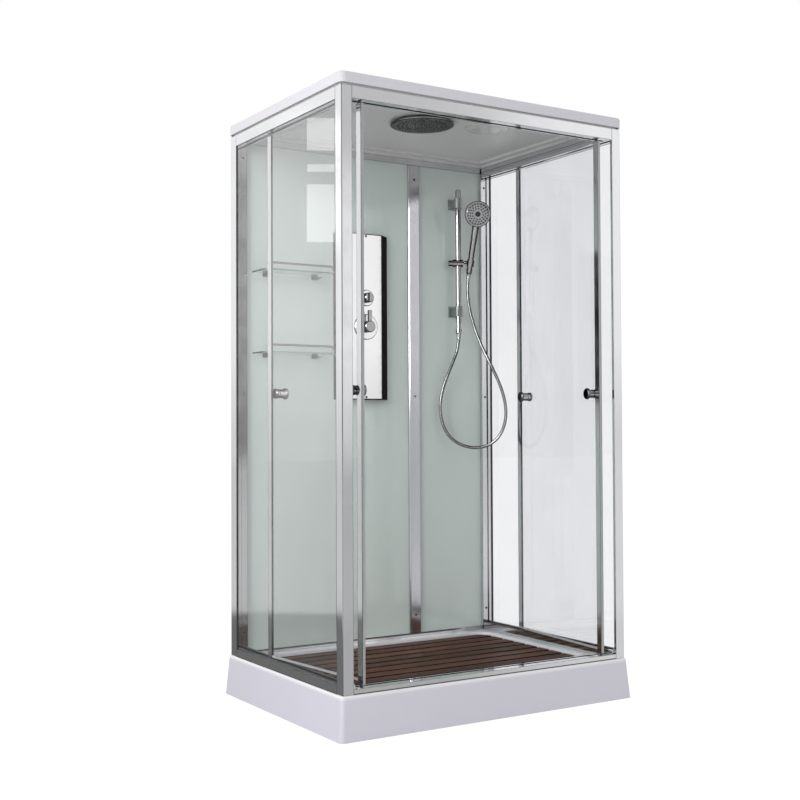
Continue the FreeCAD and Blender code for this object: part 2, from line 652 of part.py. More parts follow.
def make_side_rails():
    pane = [("0", "0"), ("pane_inset", "0"), ("pane_inset", "slot_depth"),
            ("pane_inset + pane_slot", "slot_depth"), ("pane_inset + pane_slot", "0")]
    slots = pane + channel_corners("side_track_inset", "channel_depth") + [("side_rail_depth", "0")]
    flute = [("side_rail_depth", "flute_low"), ("side_rail_depth - flute_depth", "flute_low"),
             ("side_rail_depth - flute_depth", "flute_high"), ("side_rail_depth", "flute_high")]
    top = slots + flute + [("side_rail_depth", "top_rail_height"), ("0", "top_rail_height")]
    base = flipped(slots, "base_rail_height") + [("0", "0"), ("side_rail_depth", "0")]
    for name, section, height, low in (("top", top, "top_rail_height", "top_low"),
                                       ("bottom", base, "base_rail_height", "tray_height")):
        body = new_body("rail_%s_left" % name)
        run = "2 * frame_y - post_wall - side_arm_face"
        pad(body, outline(body, "Section_" + name, "XZ_Plane", section), run, True)
        notch = oblong("0", "0", "post_wall + fit_gap", "post_face - post_wall + fit_gap")
        pocket(body, outline(body, "PostNotch_" + name, "XY_Plane", notch), height, True)
        if name == "top":
            bore = [("side_track_inset", "front_track_inset - post_wall", "pin_radius + pin_run")]
            pocket(body, rounds(body, "PinBore", "XY_Plane", bore, height), "pin_length + pin_clear")
        place(body, "-frame_x", "post_wall - frame_y", low)
        mirrored("rail_%s_right" % name, keep(body, "rail_%s_left" % name))


def make_front_rails():
    ends = [("front_rail_depth", "0")]
    slots = [("0", "0")] + channel_corners("front_track_inset", "channel_depth") + ends
    top = slots + [("front_rail_depth", "top_rail_height"), ("0", "top_rail_height")]
    sill = flipped(slots, "sill_height") + [("0", "0"), ("front_rail_depth", "0")]
    run = "2 * (frame_x - post_face)"
    cut = "side_rail_depth - post_face + fit_gap"
    for label, section, height, low in (("rail_top_front", top, "top_rail_height", "top_low"),
                                        ("sill_front", sill, "sill_height", "tray_height")):
        body = new_body(label)
        pad(body, outline(body, "Section_" + label, "YZ_Plane", section), run)
        first = oblong("0", "post_wall", cut, "front_rail_depth")
        last = oblong("%s - (%s)" % (run, cut), "post_wall", run, "front_rail_depth")
        pocket(body, outline(body, "LeftEnd_" + label, "XY_Plane", first), height, True)
        pocket(body, outline(body, "RightEnd_" + label, "XY_Plane", last), height, True)
        place(body, "post_face - frame_x", "-frame_y", low)
        keep(body, label)


def make_back_rails():
    near_face = "back_arm_thick - panel_inset - panel_thick - fit_gap"
    far_face = "back_arm_thick - panel_inset + fit_gap"
    slots = [("0", "0"), (near_face, "0"), (near_face, "slot_depth"), (far_face, "slot_depth"),
             (far_face, "0"), ("back_arm_thick", "0")]
    top = slots + [("back_arm_thick", "back_rail_height"), ("0", "back_rail_height")]
    base = flipped(slots, "back_base_height") + [("0", "0"), ("back_arm_thick", "0")]
    run = "2 * (frame_x - back_arm_face)"
    for label, section, low in (("rail_top_back", top, "frame_top - back_rail_height"),
                                ("rail_bottom_back", base, "tray_height")):
        body = new_body(label)
        pad(body, outline(body, "Section_" + label, "YZ_Plane", section), run)
        place(body, "back_arm_face - frame_x", "frame_y - back_arm_thick", low)
        keep(body, label)


def make_panes():
    body = new_body("pane_left")
    low = "base_high - slot_depth + fit_gap"
    tall = "top_low + slot_depth - fit_gap - (%s)" % low
    deep = "2 * frame_y - post_face - side_arm_face + 2 * (groove_depth - fit_gap)"
    pad(body, outline(body, "SidePane", "YZ_Plane", oblong("0", "0", deep, tall)), "pane_thick")
    place(body, "pane_inset + fit_gap - frame_x", "post_face - frame_y - groove_depth + fit_gap", low)
    mirrored("pane_right", keep(body, "pane_left"))


def make_back_wall():
    low = "back_high - slot_depth + fit_gap"
    tall = "frame_top - back_rail_height + slot_depth - fit_gap - (%s)" % low
    edge = "frame_x - back_arm_face + panel_bite - fit_gap"
    web = "joint_web / 2 + fit_gap"
    left = new_body("wall_panel_left")
    wide = "joint_x - (%s) + %s" % (web, edge)
    pad(left, outline(left, "LeftPanel", "XZ_Plane", oblong("0", "0", wide, tall)), "panel_thick", True)
    height = "mixer_z - (%s)" % low
    holes = [("column_x + %s %s inlet_pitch / 2" % (edge, sign), height, "inlet_radius + inlet_play")
             for sign in "-+"]
    pocket(left, rounds(left, "InletHoles", "XZ_Plane", holes), "panel_thick")
    place(left, "-(%s)" % edge, "wall_y", low)
    keep(left, "wall_panel_left")
    right = new_body("wall_panel_right")
    wide = "%s - joint_x - (%s)" % (edge, web)
    pad(right, outline(right, "RightPanel", "XZ_Plane", oblong("0", "0", wide, tall)), "panel_thick", True)
    place(right, "joint_x + " + web, "wall_y", low)
    keep(right, "wall_panel_right")
    make_wall_joint()


def make_wall_joint():
    """H-shaped profile that joins the two back panels."""
    joint = new_body("wall_joint")
    front = "joint_proud - fit_gap"
    back = "joint_proud + panel_thick + fit_gap"
    middle = "joint_face / 2"
    right_half = [("joint_face - joint_edge", "0"), ("joint_face", "joint_edge"), ("joint_face", front),
                  (middle + " + joint_web / 2", front), (middle + " + joint_web / 2", back),
                  (middle + " + joint_back / 2", back), (middle + " + joint_back / 2", back + " + joint_web")]
    left_half = [(middle + " - joint_back / 2", back + " + joint_web"), (middle + " - joint_back / 2", back),
                 (middle + " - joint_web / 2", back), (middle + " - joint_web / 2", front), ("0", front),
                 ("0", "joint_edge"), ("joint_edge", "0")]
    section = outline(joint, "JointSection", "XY_Plane", right_half + left_half)
    pad(joint, section, "frame_top - back_rail_height - back_high")
    place(joint, "joint_x - joint_face / 2", "wall_y - joint_proud", "back_high")
    keep(joint, "wall_joint")


def make_screws():
    screw = spun("screw", [("0", "0"), ("screw_radius", "0"), ("screw_radius", "screw_height * 0.4"),
                           ("screw_radius * 0.6", "screw_height"), ("0", "screw_height")])
    forward = turned((1, 0, 0), 90)
    rows = ("screw_low", "screw_mid", "screw_high")
    places = [("joint_x", "wall_y - joint_proud", row, forward) for row in rows]
    for x in ("-screw_x", "screw_x"):
        places += [(x, "frame_y - back_arm_thick", row, forward) for row in rows]
    face = "wall_y - column_depth - plate_thick"
    for z in ("column_low + plate_margin + plate_screw", "column_high - plate_margin - plate_screw"):
        places.append(("column_x", face, z, forward))
    copies("screws", screw, places)


def make_roof():
    cover = new_body("roof_cover")
    pad(cover, outline(cover, "RoofPlan", "XY_Plane", oblong("0", "0", "roof_width", "roof_depth")),
        "fascia_height")
    soften(cover, "Fillet", "roof_corner", lambda box: box.ZLength > value("fascia_height / 2"))
    soften(cover, "Fillet", "roof_edge", lambda box: near(box.ZMin, value("fascia_height")))
    inside = oblong("roof_wall", "roof_wall", "roof_width - roof_wall", "roof_depth - roof_wall")
    pocket(cover, outline(cover, "RoofHollow", "XY_Plane", inside), "fascia_height - roof_skin", True)
    place(cover, "-roof_width / 2", "-roof_depth / 2", "roof_top - fascia_height")
    keep(cover, "roof_cover")
    ceiling = new_body("ceiling")
    wide = "2 * (frame_x - ceiling_play)"
    deep = "2 * (frame_y - ceiling_play)"
    tall = "roof_top - roof_skin - frame_top"
    pad(ceiling, outline(ceiling, "CeilingPlan", "XY_Plane", oblong("0", "0", wide, deep)), tall)
    soften(ceiling, "Fillet", "roof_corner", lambda box: box.ZLength > value("ceiling_step"))
    steps = (("ceiling_rim", "ceiling_step"), ("ceiling_rim + ceiling_cove", "ceiling_step + ceiling_rise"))
    for number, (inset, rise) in enumerate(steps):
        plan = oblong(inset, inset, "%s - (%s)" % (wide, inset), "%s - (%s)" % (deep, inset))
        pocket(ceiling, outline(ceiling, "CeilingStep%d" % number, "XY_Plane", plan), rise, True)
    top = "ceiling_step + ceiling_rise"
    soften(ceiling, "Fillet", "ceiling_round",
           lambda box: near(box.ZMin, value(top)) and near(box.ZMax, value(top)))
    lid = oblong("ceiling_play", "ceiling_play", wide + " - ceiling_play", deep + " - ceiling_play")
    pocket(ceiling, outline(ceiling, "PipeSpace", "XY_Plane", lid, tall),
           "%s - (%s) - ceiling_skin" % (tall, top))
    x0 = "frame_x - ceiling_play"
    y0 = "frame_y - ceiling_play"
    nipple = [(x0 + " + rain_x", y0 + " + rain_y", "nipple_radius + fit_gap")]
    pocket(ceiling, rounds(ceiling, "NippleHole", "XY_Plane", nipple), tall, True)
    relief = [("%s %s corner_x" % (x0, sign), y0 + " - corner_y", "pin_head * 1.5") for sign in "-+"]
    pocket(ceiling, rounds(ceiling, "PinRelief", "XY_Plane", relief), "pin_cap * 1.5", True)
    place(ceiling, "-(%s)" % x0, "-(%s)" % y0, "frame_top")
    keep(ceiling, "ceiling")


def make_ceiling_fittings():
    rim = "rain_radius - bevel"
    top = "rain_drop + ceiling_skin + nipple_rise"
    rain = spun("rain_head", [
        ("0", "0"), (rim, "0"), ("rain_radius", "bevel / 2"), ("rain_radius", "rain_thick - bevel"),
        (rim, "rain_thick - bevel / 3"), ("rain_hub", "rain_thick"),
        ("rain_hub * 0.8", "rain_drop - bevel / 2"), ("nipple_radius", "rain_drop - bevel / 2"),
        ("nipple_radius", top), ("0", top)])
    place(rain, "rain_x", "rain_y", "ceiling_z - rain_drop")
    keep(rain, "rain_head")
    lamp = spun("ceiling_lamp", [
        ("0", "0"), ("lamp_glass", "0"), ("lamp_glass + lamp_step", "lamp_step"),
        ("lamp_radius - lamp_step", "2 * lamp_step"), ("lamp_radius", "3 * lamp_step"),
        ("lamp_radius", "lamp_height"), ("0", "lamp_height")])
    place(lamp, "lamp_x", "lamp_y", "ceiling_z - lamp_height")
    keep(lamp, "ceiling_lamp")


def make_shelves():
    plate = new_body("shelf_plate")
    plan = outline(plate, "ShelfPlan", "XY_Plane", oblong("0", "0", "shelf_length", "shelf_reach"))
    pad(plate, plan, "shelf_thick")
    soften(plate, "Fillet", "shelf_corner",
           lambda box: near(box.YMax, 0) and box.ZLength > value("shelf_thick / 2"))
    levels = ("shelf_upper", "shelf_lower")
    left = "shelf_x - shelf_length / 2"
    front = "wall_y - shelf_wall_gap - shelf_reach"
    copies("shelf_plates", plate, [(left, front, z, None) for z in levels])
    rail = doc.addObject("Part::Feature", "gallery_rail")
    rail.Shape = gallery_shape()
    start = "shelf_x - gallery_span / 2"
    inset = front + " + gallery_inset"
    copies("shelf_rails", rail, [(start, inset, z + " + shelf_thick", None) for z in levels])
    bracket = new_body("shelf_bracket")
    side = [("0", "0"), ("0", "bracket_height"), ("-bracket_reach", "bracket_height"),
            ("-bracket_reach", "bracket_height * 0.6")]
    pad(bracket, outline(bracket, "BracketSide", "YZ_Plane", side), "bracket_width")
    starts = ["shelf_x %s bracket_span / 2 - bracket_width / 2" % sign for sign in "-+"]
    spots = [(x, "wall_y", z + " - bracket_height", None) for z in levels for x in starts]
    copies("shelf_brackets", bracket, spots)


def gallery_shape():
    """Round bar on two feet, with a bend at each end."""
    radius = value("gallery_radius")
    rise = value("gallery_rise")
    span = value("gallery_span")
    bend = value("gallery_bend")
    route = [FreeCAD.Vector(0, 0, 0), FreeCAD.Vector(0, 0, rise), FreeCAD.Vector(span, 0, rise),
             FreeCAD.Vector(span, 0, 0)]
    path = rounded_wire(route, [bend, bend])
    foot = Part.Wire(Part.makeCircle(radius, route[0], FreeCAD.Vector(0, 0, 1)))
    return path.makePipeShell([foot], True, False)


def rounded_wire(points, radii):
    """Straight runs joined by tangent arcs of the given radii."""
    edges = []
    start = points[0]
    for before, corner, after, radius in zip(points, points[1:], points[2:], radii):
        inward = (corner - before).normalize()
        outward = (after - corner).normalize()
        half = inward.getAngle(outward) / 2
        reach = radius * math.tan(half)
        first = corner - inward * reach
        last = corner + outward * reach
        centre = corner + (outward - inward).normalize() * (radius / math.cos(half))
        middle = centre + (corner - centre).normalize() * radius
        edges.append(Part.LineSegment(start, first).toShape())
        edges.append(Part.Arc(first, middle, last).toShape())
        start = last
    edges.append(Part.LineSegment(start, points[-1]).toShape())
    return Part.Wire(edges)


def make_column():
    body = new_body("column_body")
    slant = "(column_base - column_front) / 2"
    corners = [(slant, "0"), (slant + " + column_front", "0"), ("column_base", "column_depth"),
               ("0", "column_depth")]
    pad(body, outline(body, "ColumnPlan", "XY_Plane", corners), "column_high - column_low")
    place(body, "column_x - column_base / 2", "wall_y - column_depth", "column_low")
    keep(body, "column_body")
    plate = new_body("column_plate")
    wide = "column_front - 2 * plate_margin"
    tall = "column_high - column_low - 2 * plate_margin"
    pad(plate, outline(plate, "PlateFace", "XZ_Plane", oblong("0", "0", wide, tall)), "plate_thick")
    soften(plate, "Chamfer", "plate_thick / 3", lambda box: near(box.YMax, value("-plate_thick")))
    place(plate, "column_x - column_front / 2 + plate_margin", "wall_y - column_depth",
          "column_low + plate_margin")
    keep(plate, "column_plate")
    neck = "inlet_radius - inlet_neck"
    thread = "panel_thick + inlet_play"
    tail = spun("inlet_tail", [
        ("0", "0"), (neck, "0"), (neck, thread), ("inlet_radius", thread),
        ("inlet_radius", "inlet_reach - bevel"), ("inlet_radius - bevel", "inlet_reach"),
        ("0", "inlet_reach")])
    backward = turned((1, 0, 0), -90)
    spots = [("column_x %s inlet_pitch / 2" % sign, "wall_y", "mixer_z", backward) for sign in "-+"]
    copies("inlet_tails", tail, spots)


def make_valves():
    forward = turned((1, 0, 0), 90)
    face = "wall_y - column_depth - plate_thick"
    rings = []
    for name, outer, hub, z in (("mixer", "mixer_ring", "mixer_hub", "mixer_z"),
                                ("diverter", "diverter_ring", "diverter_hub", "diverter_z")):
        inner = hub + " + turn_gap"
        ring = spun(name + "_rosette", [(inner, "0"), (outer, "0"), (outer, "ring_thick / 2"),
                                        (outer + " - bevel", "ring_thick"), (inner, "ring_thick")])
        rings.append(place(ring, "column_x", face, z, forward))
    group("valve_rings", rings)
    lever = spun("mixer_lever", [
        ("0", "turn_gap"), ("mixer_hub", "turn_gap"), ("mixer_hub", "mixer_reach - bevel"),
        ("mixer_hub - bevel", "mixer_reach"), ("0", "mixer_reach")])
    bar = oblong("-lever_width / 2", "mixer_hub / 2", "lever_width / 2", "lever_length")
    bar_back = "mixer_reach - bevel - lever_thick"
    pad(lever, outline(lever, "LeverBar", "XY_Plane", bar, bar_back), "lever_thick")
    soften(lever, "Fillet", "lever_width / 3",
           lambda box: near(box.YMin, value("lever_length")) and near(box.ZLength, value("lever_thick")))
    place(lever, "column_x", face, "mixer_z", forward)
    keep(lever, "mixer_lever")
    knob = spun("diverter_knob", [
        ("0", "turn_gap"), ("diverter_hub", "turn_gap"), ("diverter_hub", "diverter_reach - bevel"),
        ("diverter_hub - bevel", "diverter_reach"), ("0", "diverter_reach")])
    bar = oblong("-grip_width / 2", "bevel - diverter_hub", "grip_width / 2", "diverter_hub - bevel")
    pad(knob, outline(knob, "GripBar", "XY_Plane", bar, "diverter_reach - bevel"), "grip_rise + bevel")
    place(knob, "column_x", face, "diverter_z", forward)
    keep(knob, "diverter_knob")


def make_riser():
    tall = "riser_high - riser_low"
    riser = spun("riser", [
        ("riser_bore", "0"), ("tip_radius", "0"), ("tip_radius", "tip_length"),
        ("riser_radius", "tip_length + bevel"), ("riser_radius", tall + " - bevel"),
        ("riser_radius - bevel", tall), ("0", tall), ("0", tall + " - riser_end"),
        ("riser_bore", tall + " - riser_end")])
    place(riser, "riser_x", "riser_y", "riser_low")
    keep(riser, "riser")
    clamp = new_body("riser_clamp")
    pad(clamp, rounds(clamp, "ClampRing", "XY_Plane", [("0", "0", "clamp_radius")]), "clamp_height")
    stem = oblong("-clamp_stem / 2", "0", "clamp_stem / 2", "riser_gap")
    pad(clamp, outline(clamp, "ClampStem", "XY_Plane", stem, "clamp_height * 0.15"), "clamp_height * 0.7")
    foot = oblong("-clamp_radius", "riser_gap - clamp_foot", "clamp_radius", "riser_gap")
    pad(clamp, outline(clamp, "ClampFoot", "XY_Plane", foot), "clamp_height")
    hole = rounds(clamp, "ClampBore", "XY_Plane", [("0", "0", "riser_radius + slider_run")])
    pocket(clamp, hole, "clamp_height", True)
    spots = [("riser_x", "riser_y", z, None) for z in ("clamp_low", "clamp_high")]
    copies("riser_brackets", clamp, spots)
    nut = spun("riser_nut", nut_points())
    place(nut, "riser_x", "riser_y", "riser_low - nut_length")
    keep(nut, "riser_nut")


def nut_points():
    """Conical hose nut: its narrow nose takes the hose, its wide end the fitting."""
    return [("hose_bore", "0"), ("nut_nose", "0"), ("nut_radius", "nut_length * 0.35"),
            ("nut_radius", "nut_length"), ("hose_bore", "nut_length")]


def handset_turns():
    """Rotation of the slider, and of the socket with the hand shower."""
    slider = turned((0, 0, 1), -value("handset_turn"))
    tilt = turned((1, 0, 0), value("handset_tilt"))
    lean = turned((0, 1, 0), value("handset_lean"))
    return slider, slider.multiply(tilt).multiply(lean)


def socket_place():
    """Formulas of the socket's middle in the room."""
    return ("riser_x + socket_reach * cos(handset_turn)",
            "riser_y - socket_reach * sin(handset_turn)",
            "slider_z")


def make_slider():
    slider_turn, socket_turn = handset_turns()
    slider = new_body("slider")
    right = "socket_reach - ball_offset - ball_radius - fit_gap"
    barrel = rounds(slider, "SliderBarrel", "YZ_Plane", [("0", "0", "slider_radius")], "-slider_left")
    pad(slider, barrel, "slider_left + " + right)
    lock = rounds(slider, "LockKnob", "YZ_Plane", [("0", "0", "lock_radius")], "-slider_left - lock_length")
    pad(slider, lock, "lock_length")
    hole = [("0", "0", "riser_radius + slider_run")]
    bore = rounds(slider, "RiserBore", "XY_Plane", hole, "-slider_radius * 1.5")
    pocket(slider, bore, "slider_radius * 3", True)
    place(slider, "riser_x", "riser_y", "slider_z", slider_turn)
    keep(slider, "slider")
    holder = spun("holder", socket_points())
    arm = rounds(holder, "HolderArm", "YZ_Plane", [("0", "0", "ball_radius * 0.7")], "-ball_offset")
    pad(holder, arm, "ball_offset - handle_neck - socket_wall / 2")
    half = [("-ball_offset - ball_radius", "0"), ("ball_radius - ball_offset", "0"),
            ("ball_radius * 0.7 - ball_offset", "ball_radius * 0.7"), ("-ball_offset", "ball_radius"),
            ("-ball_offset - ball_radius * 0.7", "ball_radius * 0.7")]
    revolve(holder, outline(holder, "HolderBall", "XZ_Plane", half), "H_Axis")
    place(holder, *socket_place(), socket_turn)
    keep(holder, "holder")


def socket_points():
    """Conical ring that follows the handle's taper with a little play."""
    grade = "(handle_neck - handle_low) / (2 * handle_tail)"
    middle = "(handle_low + handle_neck) / 2 + fit_gap"
    low = "%s - socket_half * %s" % (middle, grade)
    high = "%s + socket_half * %s" % (middle, grade)
    return [(low, "-socket_half"), (low + " + socket_wall", "-socket_half"),
            (high + " + socket_wall", "socket_half"), (high, "socket_half")]


def make_hand_shower():
    turn = handset_turns()[1]
    hand = spun("hand_shower", [
        ("0", "-handle_tail"), ("handle_low", "-handle_tail"), ("handle_neck", "handle_tail"),
        ("handle_mid", "handle_length / 2"), ("handle_high", "handle_length"), ("0", "handle_length")])
    half = [("-head_front", "0"), ("-head_front", "head_radius - bevel"),
            ("bevel - head_front", "head_radius"), ("head_rim - head_front", "head_radius"),
            ("head_back / 3", "head_radius * 0.72"),
            ("head_back", "head_radius * 0.3"), ("head_back", "0")]
    revolve(hand, outline(hand, "HeadHalf", "YZ_Plane", half, "0", "head_z"), "H_Axis")
    place(hand, *socket_place(), turn)
    keep(hand, "hand_shower")
    spray = new_body("hand_spray")
    face = [("-head_front - spray_thick", "0"), ("-head_front - spray_thick", "spray_radius - bevel"),
            ("-head_front", "spray_radius"), ("-head_front", "0")]
    revolve(spray, outline(spray, "SprayHalf", "YZ_Plane", face, "0", "head_z"), "H_Axis")
    place(spray, *socket_place(), turn)
    keep(spray, "hand_spray")
    nut = spun("hand_nut", [(x, "%s - nut_length - handle_tail" % z) for x, z in nut_points()])
    place(nut, *socket_place(), turn)
    keep(nut, "hand_nut")


def make_hose():
    """Tube along straight runs and tangent arcs from nut to nut."""
    turn = handset_turns()[1]
    socket = FreeCAD.Vector(*[value(text) for text in socket_place()])
    axis = turn.multVec(FreeCAD.Vector(0, 0, 1))
    end = socket - axis * value("handle_tail + nut_length")
    start = FreeCAD.Vector(value("riser_x"), value("riser_y"), value("riser_low - nut_length"))
    corners = [FreeCAD.Vector(*spot) for spot in HOSE_CORNERS]
    points = [start] + corners + [end - axis * value("hose_lead"), end]
    radii = []
    for before, corner, after in zip(points, points[1:], points[2:]):
        half = (corner - before).getAngle(after - corner) / 2
        radii.append(0.45 * min((corner - before).Length, (after - corner).Length) / math.tan(half))
    path = rounded_wire(points, radii)
    tube = [sweep(path, value(name)) for name in ("hose_radius", "hose_bore")]
    hose = doc.addObject("Part::Feature", "hose")
    hose.Shape = tube[0].cut(tube[1])
    section = math.pi * (value("hose_radius") ** 2 - value("hose_bore") ** 2)
    print("hose length %.0f, least bend %.0f, volume over section by length %.4f"
          % (path.Length, min(radii), hose.Shape.Volume / (section * path.Length)))
    keep(hose, "hose")


def sweep(path, radius):
    first = path.OrderedEdges[0]
    start = first.valueAt(first.FirstParameter)
    ring = Part.Wire(Part.makeCircle(radius, start, first.tangentAt(first.FirstParameter)))
    return path.makePipeShell([ring], True, False)


def door_spot(along):
    """Formulas of a point on the left door's guide line, in the room."""
    return ("(%s) * sin(rest_angle) - corner_x" % along, "park_y - (%s) * cos(rest_angle)" % along)


def hang(body):
    """Put a left door piece where the parked door stands."""
    return place(body, *door_spot("0"), "0", turned((0, 0, -1), 90 - value("rest_angle")))


def make_door():
    make_door_pane()
    make_door_profiles()
    make_door_seals()
    make_door_knobs()
    make_door_guides()
    pin = spun("corner_pin", [
        ("0", "0"), ("pin_radius", "0"), ("pin_radius", "pin_length + fit_gap"),
        ("pin_head", "pin_length + fit_gap"), ("pin_head", "pin_length + pin_cap / 2"),
        ("pin_radius", "pin_length + pin_cap"), ("0", "pin_length + pin_cap")])
    place(pin, "-corner_x", "-corner_y", "frame_top - pin_length")
    keep(pin, "corner_pin_left")
    for piece in DOOR_PIECES:
        mirrored(piece + "_right", nodes[piece + "_left"])


def make_door_pane():
    pane = new_body("door_pane_left")
    left = "trail_length - trail_over - profile_bite + fit_gap"
    right = "door_span + lead_over - lead_length + profile_bite - fit_gap"
    face = oblong(left, "pane_low", right, "profile_high - door_clear")
    pad(pane, outline(pane, "DoorFace", "XZ_Plane", face, "-door_pane / 2"), "door_pane")
    holes = [(along, "knob_z", "knob_stud + fit_gap") for along in ("knob_trail", "door_span - knob_lead")]
    pocket(pane, rounds(pane, "KnobHoles", "XZ_Plane", holes, "door_pane / 2"), "door_pane")
    keep(hang(pane), "door_pane_left")


def make_door_profiles():
    half = "door_profile / 2"
    slot = "door_pane / 2 + fit_gap"
    lead = new_body("door_lead_left")
    inner = "door_span + lead_over - lead_length"
    outer = "door_span + lead_over"
    corners = [(inner, "-" + half), (outer, "-" + half), (outer, half), (inner, half), (inner, slot),
               (inner + " + profile_bite", slot), (inner + " + profile_bite", "-(%s)" % slot),
               (inner, "-(%s)" % slot)]
    pad(lead, outline(lead, "LeadSection", "XY_Plane", corners, "lead_low"), "profile_high - lead_low")
    keep(hang(lead), "door_lead_left")
    trail = new_body("door_trail_left")
    inner = "trail_length - trail_over"
    corners = [("-trail_over", "-" + half), (inner, "-" + half), (inner, "-(%s)" % slot),
               (inner + " - profile_bite", "-(%s)" % slot), (inner + " - profile_bite", slot), (inner, slot),
               (inner, half), ("-trail_over", half)]
    pad(trail, outline(trail, "TrailSection", "XY_Plane", corners, "trail_low"), "profile_high - trail_low")
    keep(hang(trail), "door_trail_left")


def make_door_seals():
    magnet = new_body("magnet_seal")
    inner = "door_span + lead_over"
    strip = oblong(inner, "-seal_width / 2", inner + " + seal_thick", "seal_width / 2")
    pad(magnet, outline(magnet, "MagnetSection", "XY_Plane", strip, "lead_low"), "profile_high - lead_low")
    drip = new_body("drip_seal")
    low = "trail_length - trail_over + fit_gap"
    high = "door_span + lead_over - lead_length - fit_gap"
    blade = oblong(low, "-door_pane / 2", high, "door_pane / 2")
    pad(drip, outline(drip, "DripSection", "XY_Plane", blade, "pane_low - drip_height"), "drip_height")
    group("door_seals_left", [hang(magnet), hang(drip)])


def make_door_knobs():
    face = "door_pane / 2 + fit_gap"
    outside = [("0", "-knob_outside"), ("knob_radius - bevel", "-knob_outside"),
               ("knob_radius", "bevel - knob_outside"), ("knob_radius", "knob_rim - knob_outside"),
               ("knob_neck", "knob_rim + bevel - knob_outside"), ("knob_neck", "-(%s)" % face)]
    stud = [("knob_stud", "-(%s)" % face), ("knob_stud", face)]
    inside = [("knob_neck", face), ("knob_neck", "knob_inside - 2 * knob_rim"),
              ("knob_radius", "knob_inside - knob_rim"), ("knob_radius", "knob_inside - bevel"),
              ("knob_radius - bevel", "knob_inside"), ("0", "knob_inside")]
    knob = spun("door_knob", outside + stud + inside)
    turn = turned((0, 0, -1), 90 - value("rest_angle")).multiply(turned((1, 0, 0), -90))
    spots = [door_spot(along) + ("knob_z", turn) for along in ("knob_trail", "door_span - knob_lead")]
    copies("door_knobs_left", knob, spots)


def make_door_guides():
    studs = []
    top = "top_low + guide_bite"
    spans = (("0", "base_high - guide_bite", "trail_low"), ("0", "profile_high", top),
             ("door_span", "sill_high - guide_bite", "lead_low"), ("door_span", "profile_high", top))
    for number, (along, low, high) in enumerate(spans):
        stud = doc.addObject("Part::Cylinder", "guide_stud_%d" % number)
        stud.setExpression("Radius", bound("guide_radius"))
        stud.setExpression("Height", bound("%s - (%s)" % (high, low)))
        studs.append(place(stud, *door_spot(along), low))
    group("door_guides_left", studs)


def export_nodes():
    """Stop on a broken piece, then write one STEP file for each node."""
    doc.recompute()
    for item in doc.Objects:
        if "Invalid" in item.State or "Error" in item.State:
            raise RuntimeError("%s is %s" % (item.Label, item.State))
    os.makedirs("parts", exist_ok=True)
    for label, piece in nodes.items():
        shape = piece.Shape
        if shape.isNull() or not shape.isValid():
            raise RuntimeError(label + " has no sound shape")
        box = shape.BoundBox
        print("%-18s solids %2d volume %9.0f" % (label, len(shape.Solids), shape.Volume), end=" ")
        print("x %.1f..%.1f y %.1f..%.1f z %.1f..%.1f"
              % (box.XMin, box.XMax, box.YMin, box.YMax, box.ZMin, box.ZMax))
        shape.exportStep("parts/%s.step" % label)


fill_sheet()
make_tray()
make_tray_fittings()
make_deck()
make_posts()
make_side_rails()
make_front_rails()
make_back_rails()
make_panes()
make_back_wall()
make_screws()
make_roof()
make_ceiling_fittings()
make_shelves()
make_column()
make_valves()
make_riser()
make_slider()
make_hand_shower()
make_hose()
make_door()
export_nodes()
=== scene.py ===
import logging
import math
from dataclasses import dataclass, field
from enum import Enum

import bmesh
import bpy
from mathutils import Matrix, Vector


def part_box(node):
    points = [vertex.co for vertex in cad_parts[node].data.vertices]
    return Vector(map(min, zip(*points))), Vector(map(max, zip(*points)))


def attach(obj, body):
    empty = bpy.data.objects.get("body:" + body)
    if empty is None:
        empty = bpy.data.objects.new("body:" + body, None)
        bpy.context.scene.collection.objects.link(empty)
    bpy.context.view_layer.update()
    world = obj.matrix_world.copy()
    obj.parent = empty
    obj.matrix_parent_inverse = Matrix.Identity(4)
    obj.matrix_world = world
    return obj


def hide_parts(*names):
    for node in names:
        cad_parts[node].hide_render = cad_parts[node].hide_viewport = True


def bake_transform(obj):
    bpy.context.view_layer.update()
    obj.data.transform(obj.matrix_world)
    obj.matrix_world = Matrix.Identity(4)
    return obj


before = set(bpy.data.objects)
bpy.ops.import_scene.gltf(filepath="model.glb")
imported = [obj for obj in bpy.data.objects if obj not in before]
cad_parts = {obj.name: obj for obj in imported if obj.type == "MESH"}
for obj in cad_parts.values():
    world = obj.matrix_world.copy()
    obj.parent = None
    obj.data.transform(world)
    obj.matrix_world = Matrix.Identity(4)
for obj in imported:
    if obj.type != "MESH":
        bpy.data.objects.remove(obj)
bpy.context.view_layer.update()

LOG = logging.getLogger("shower_cabin")
FULL_TURN = 2.0 * math.pi
QUARTER_TURN = math.pi / 2.0
HEXAGON = 6

Colour = tuple[float, float, float]
Point = tuple[float, float, float]
Outline = list[tuple[float, float]]
Greys = list[tuple[float, float]]
Socket = bpy.types.NodeSocket


class Axis(Enum):
    """A direction of the cabin's own frame."""

    X = 0
    Y = 1
    Z = 2

    def drawn_out(self, share: float) -> Point:
        """Give the scale of a pattern that is drawn out along this axis."""
        return tuple(share if axis is self else 1.0 for axis in Axis)


class Side(Enum):
    """The two mirrored halves of the cabin."""

    LEFT = "left"
    RIGHT = "right"

    def of(self, stem: str) -> str:
        """Give the name of this side's piece."""
        return stem + "_" + self.value


class Line(Enum):
    """How a curve follows the points that lead it."""

    SMOOTH = "NURBS"
    STRAIGHT = "POLY"


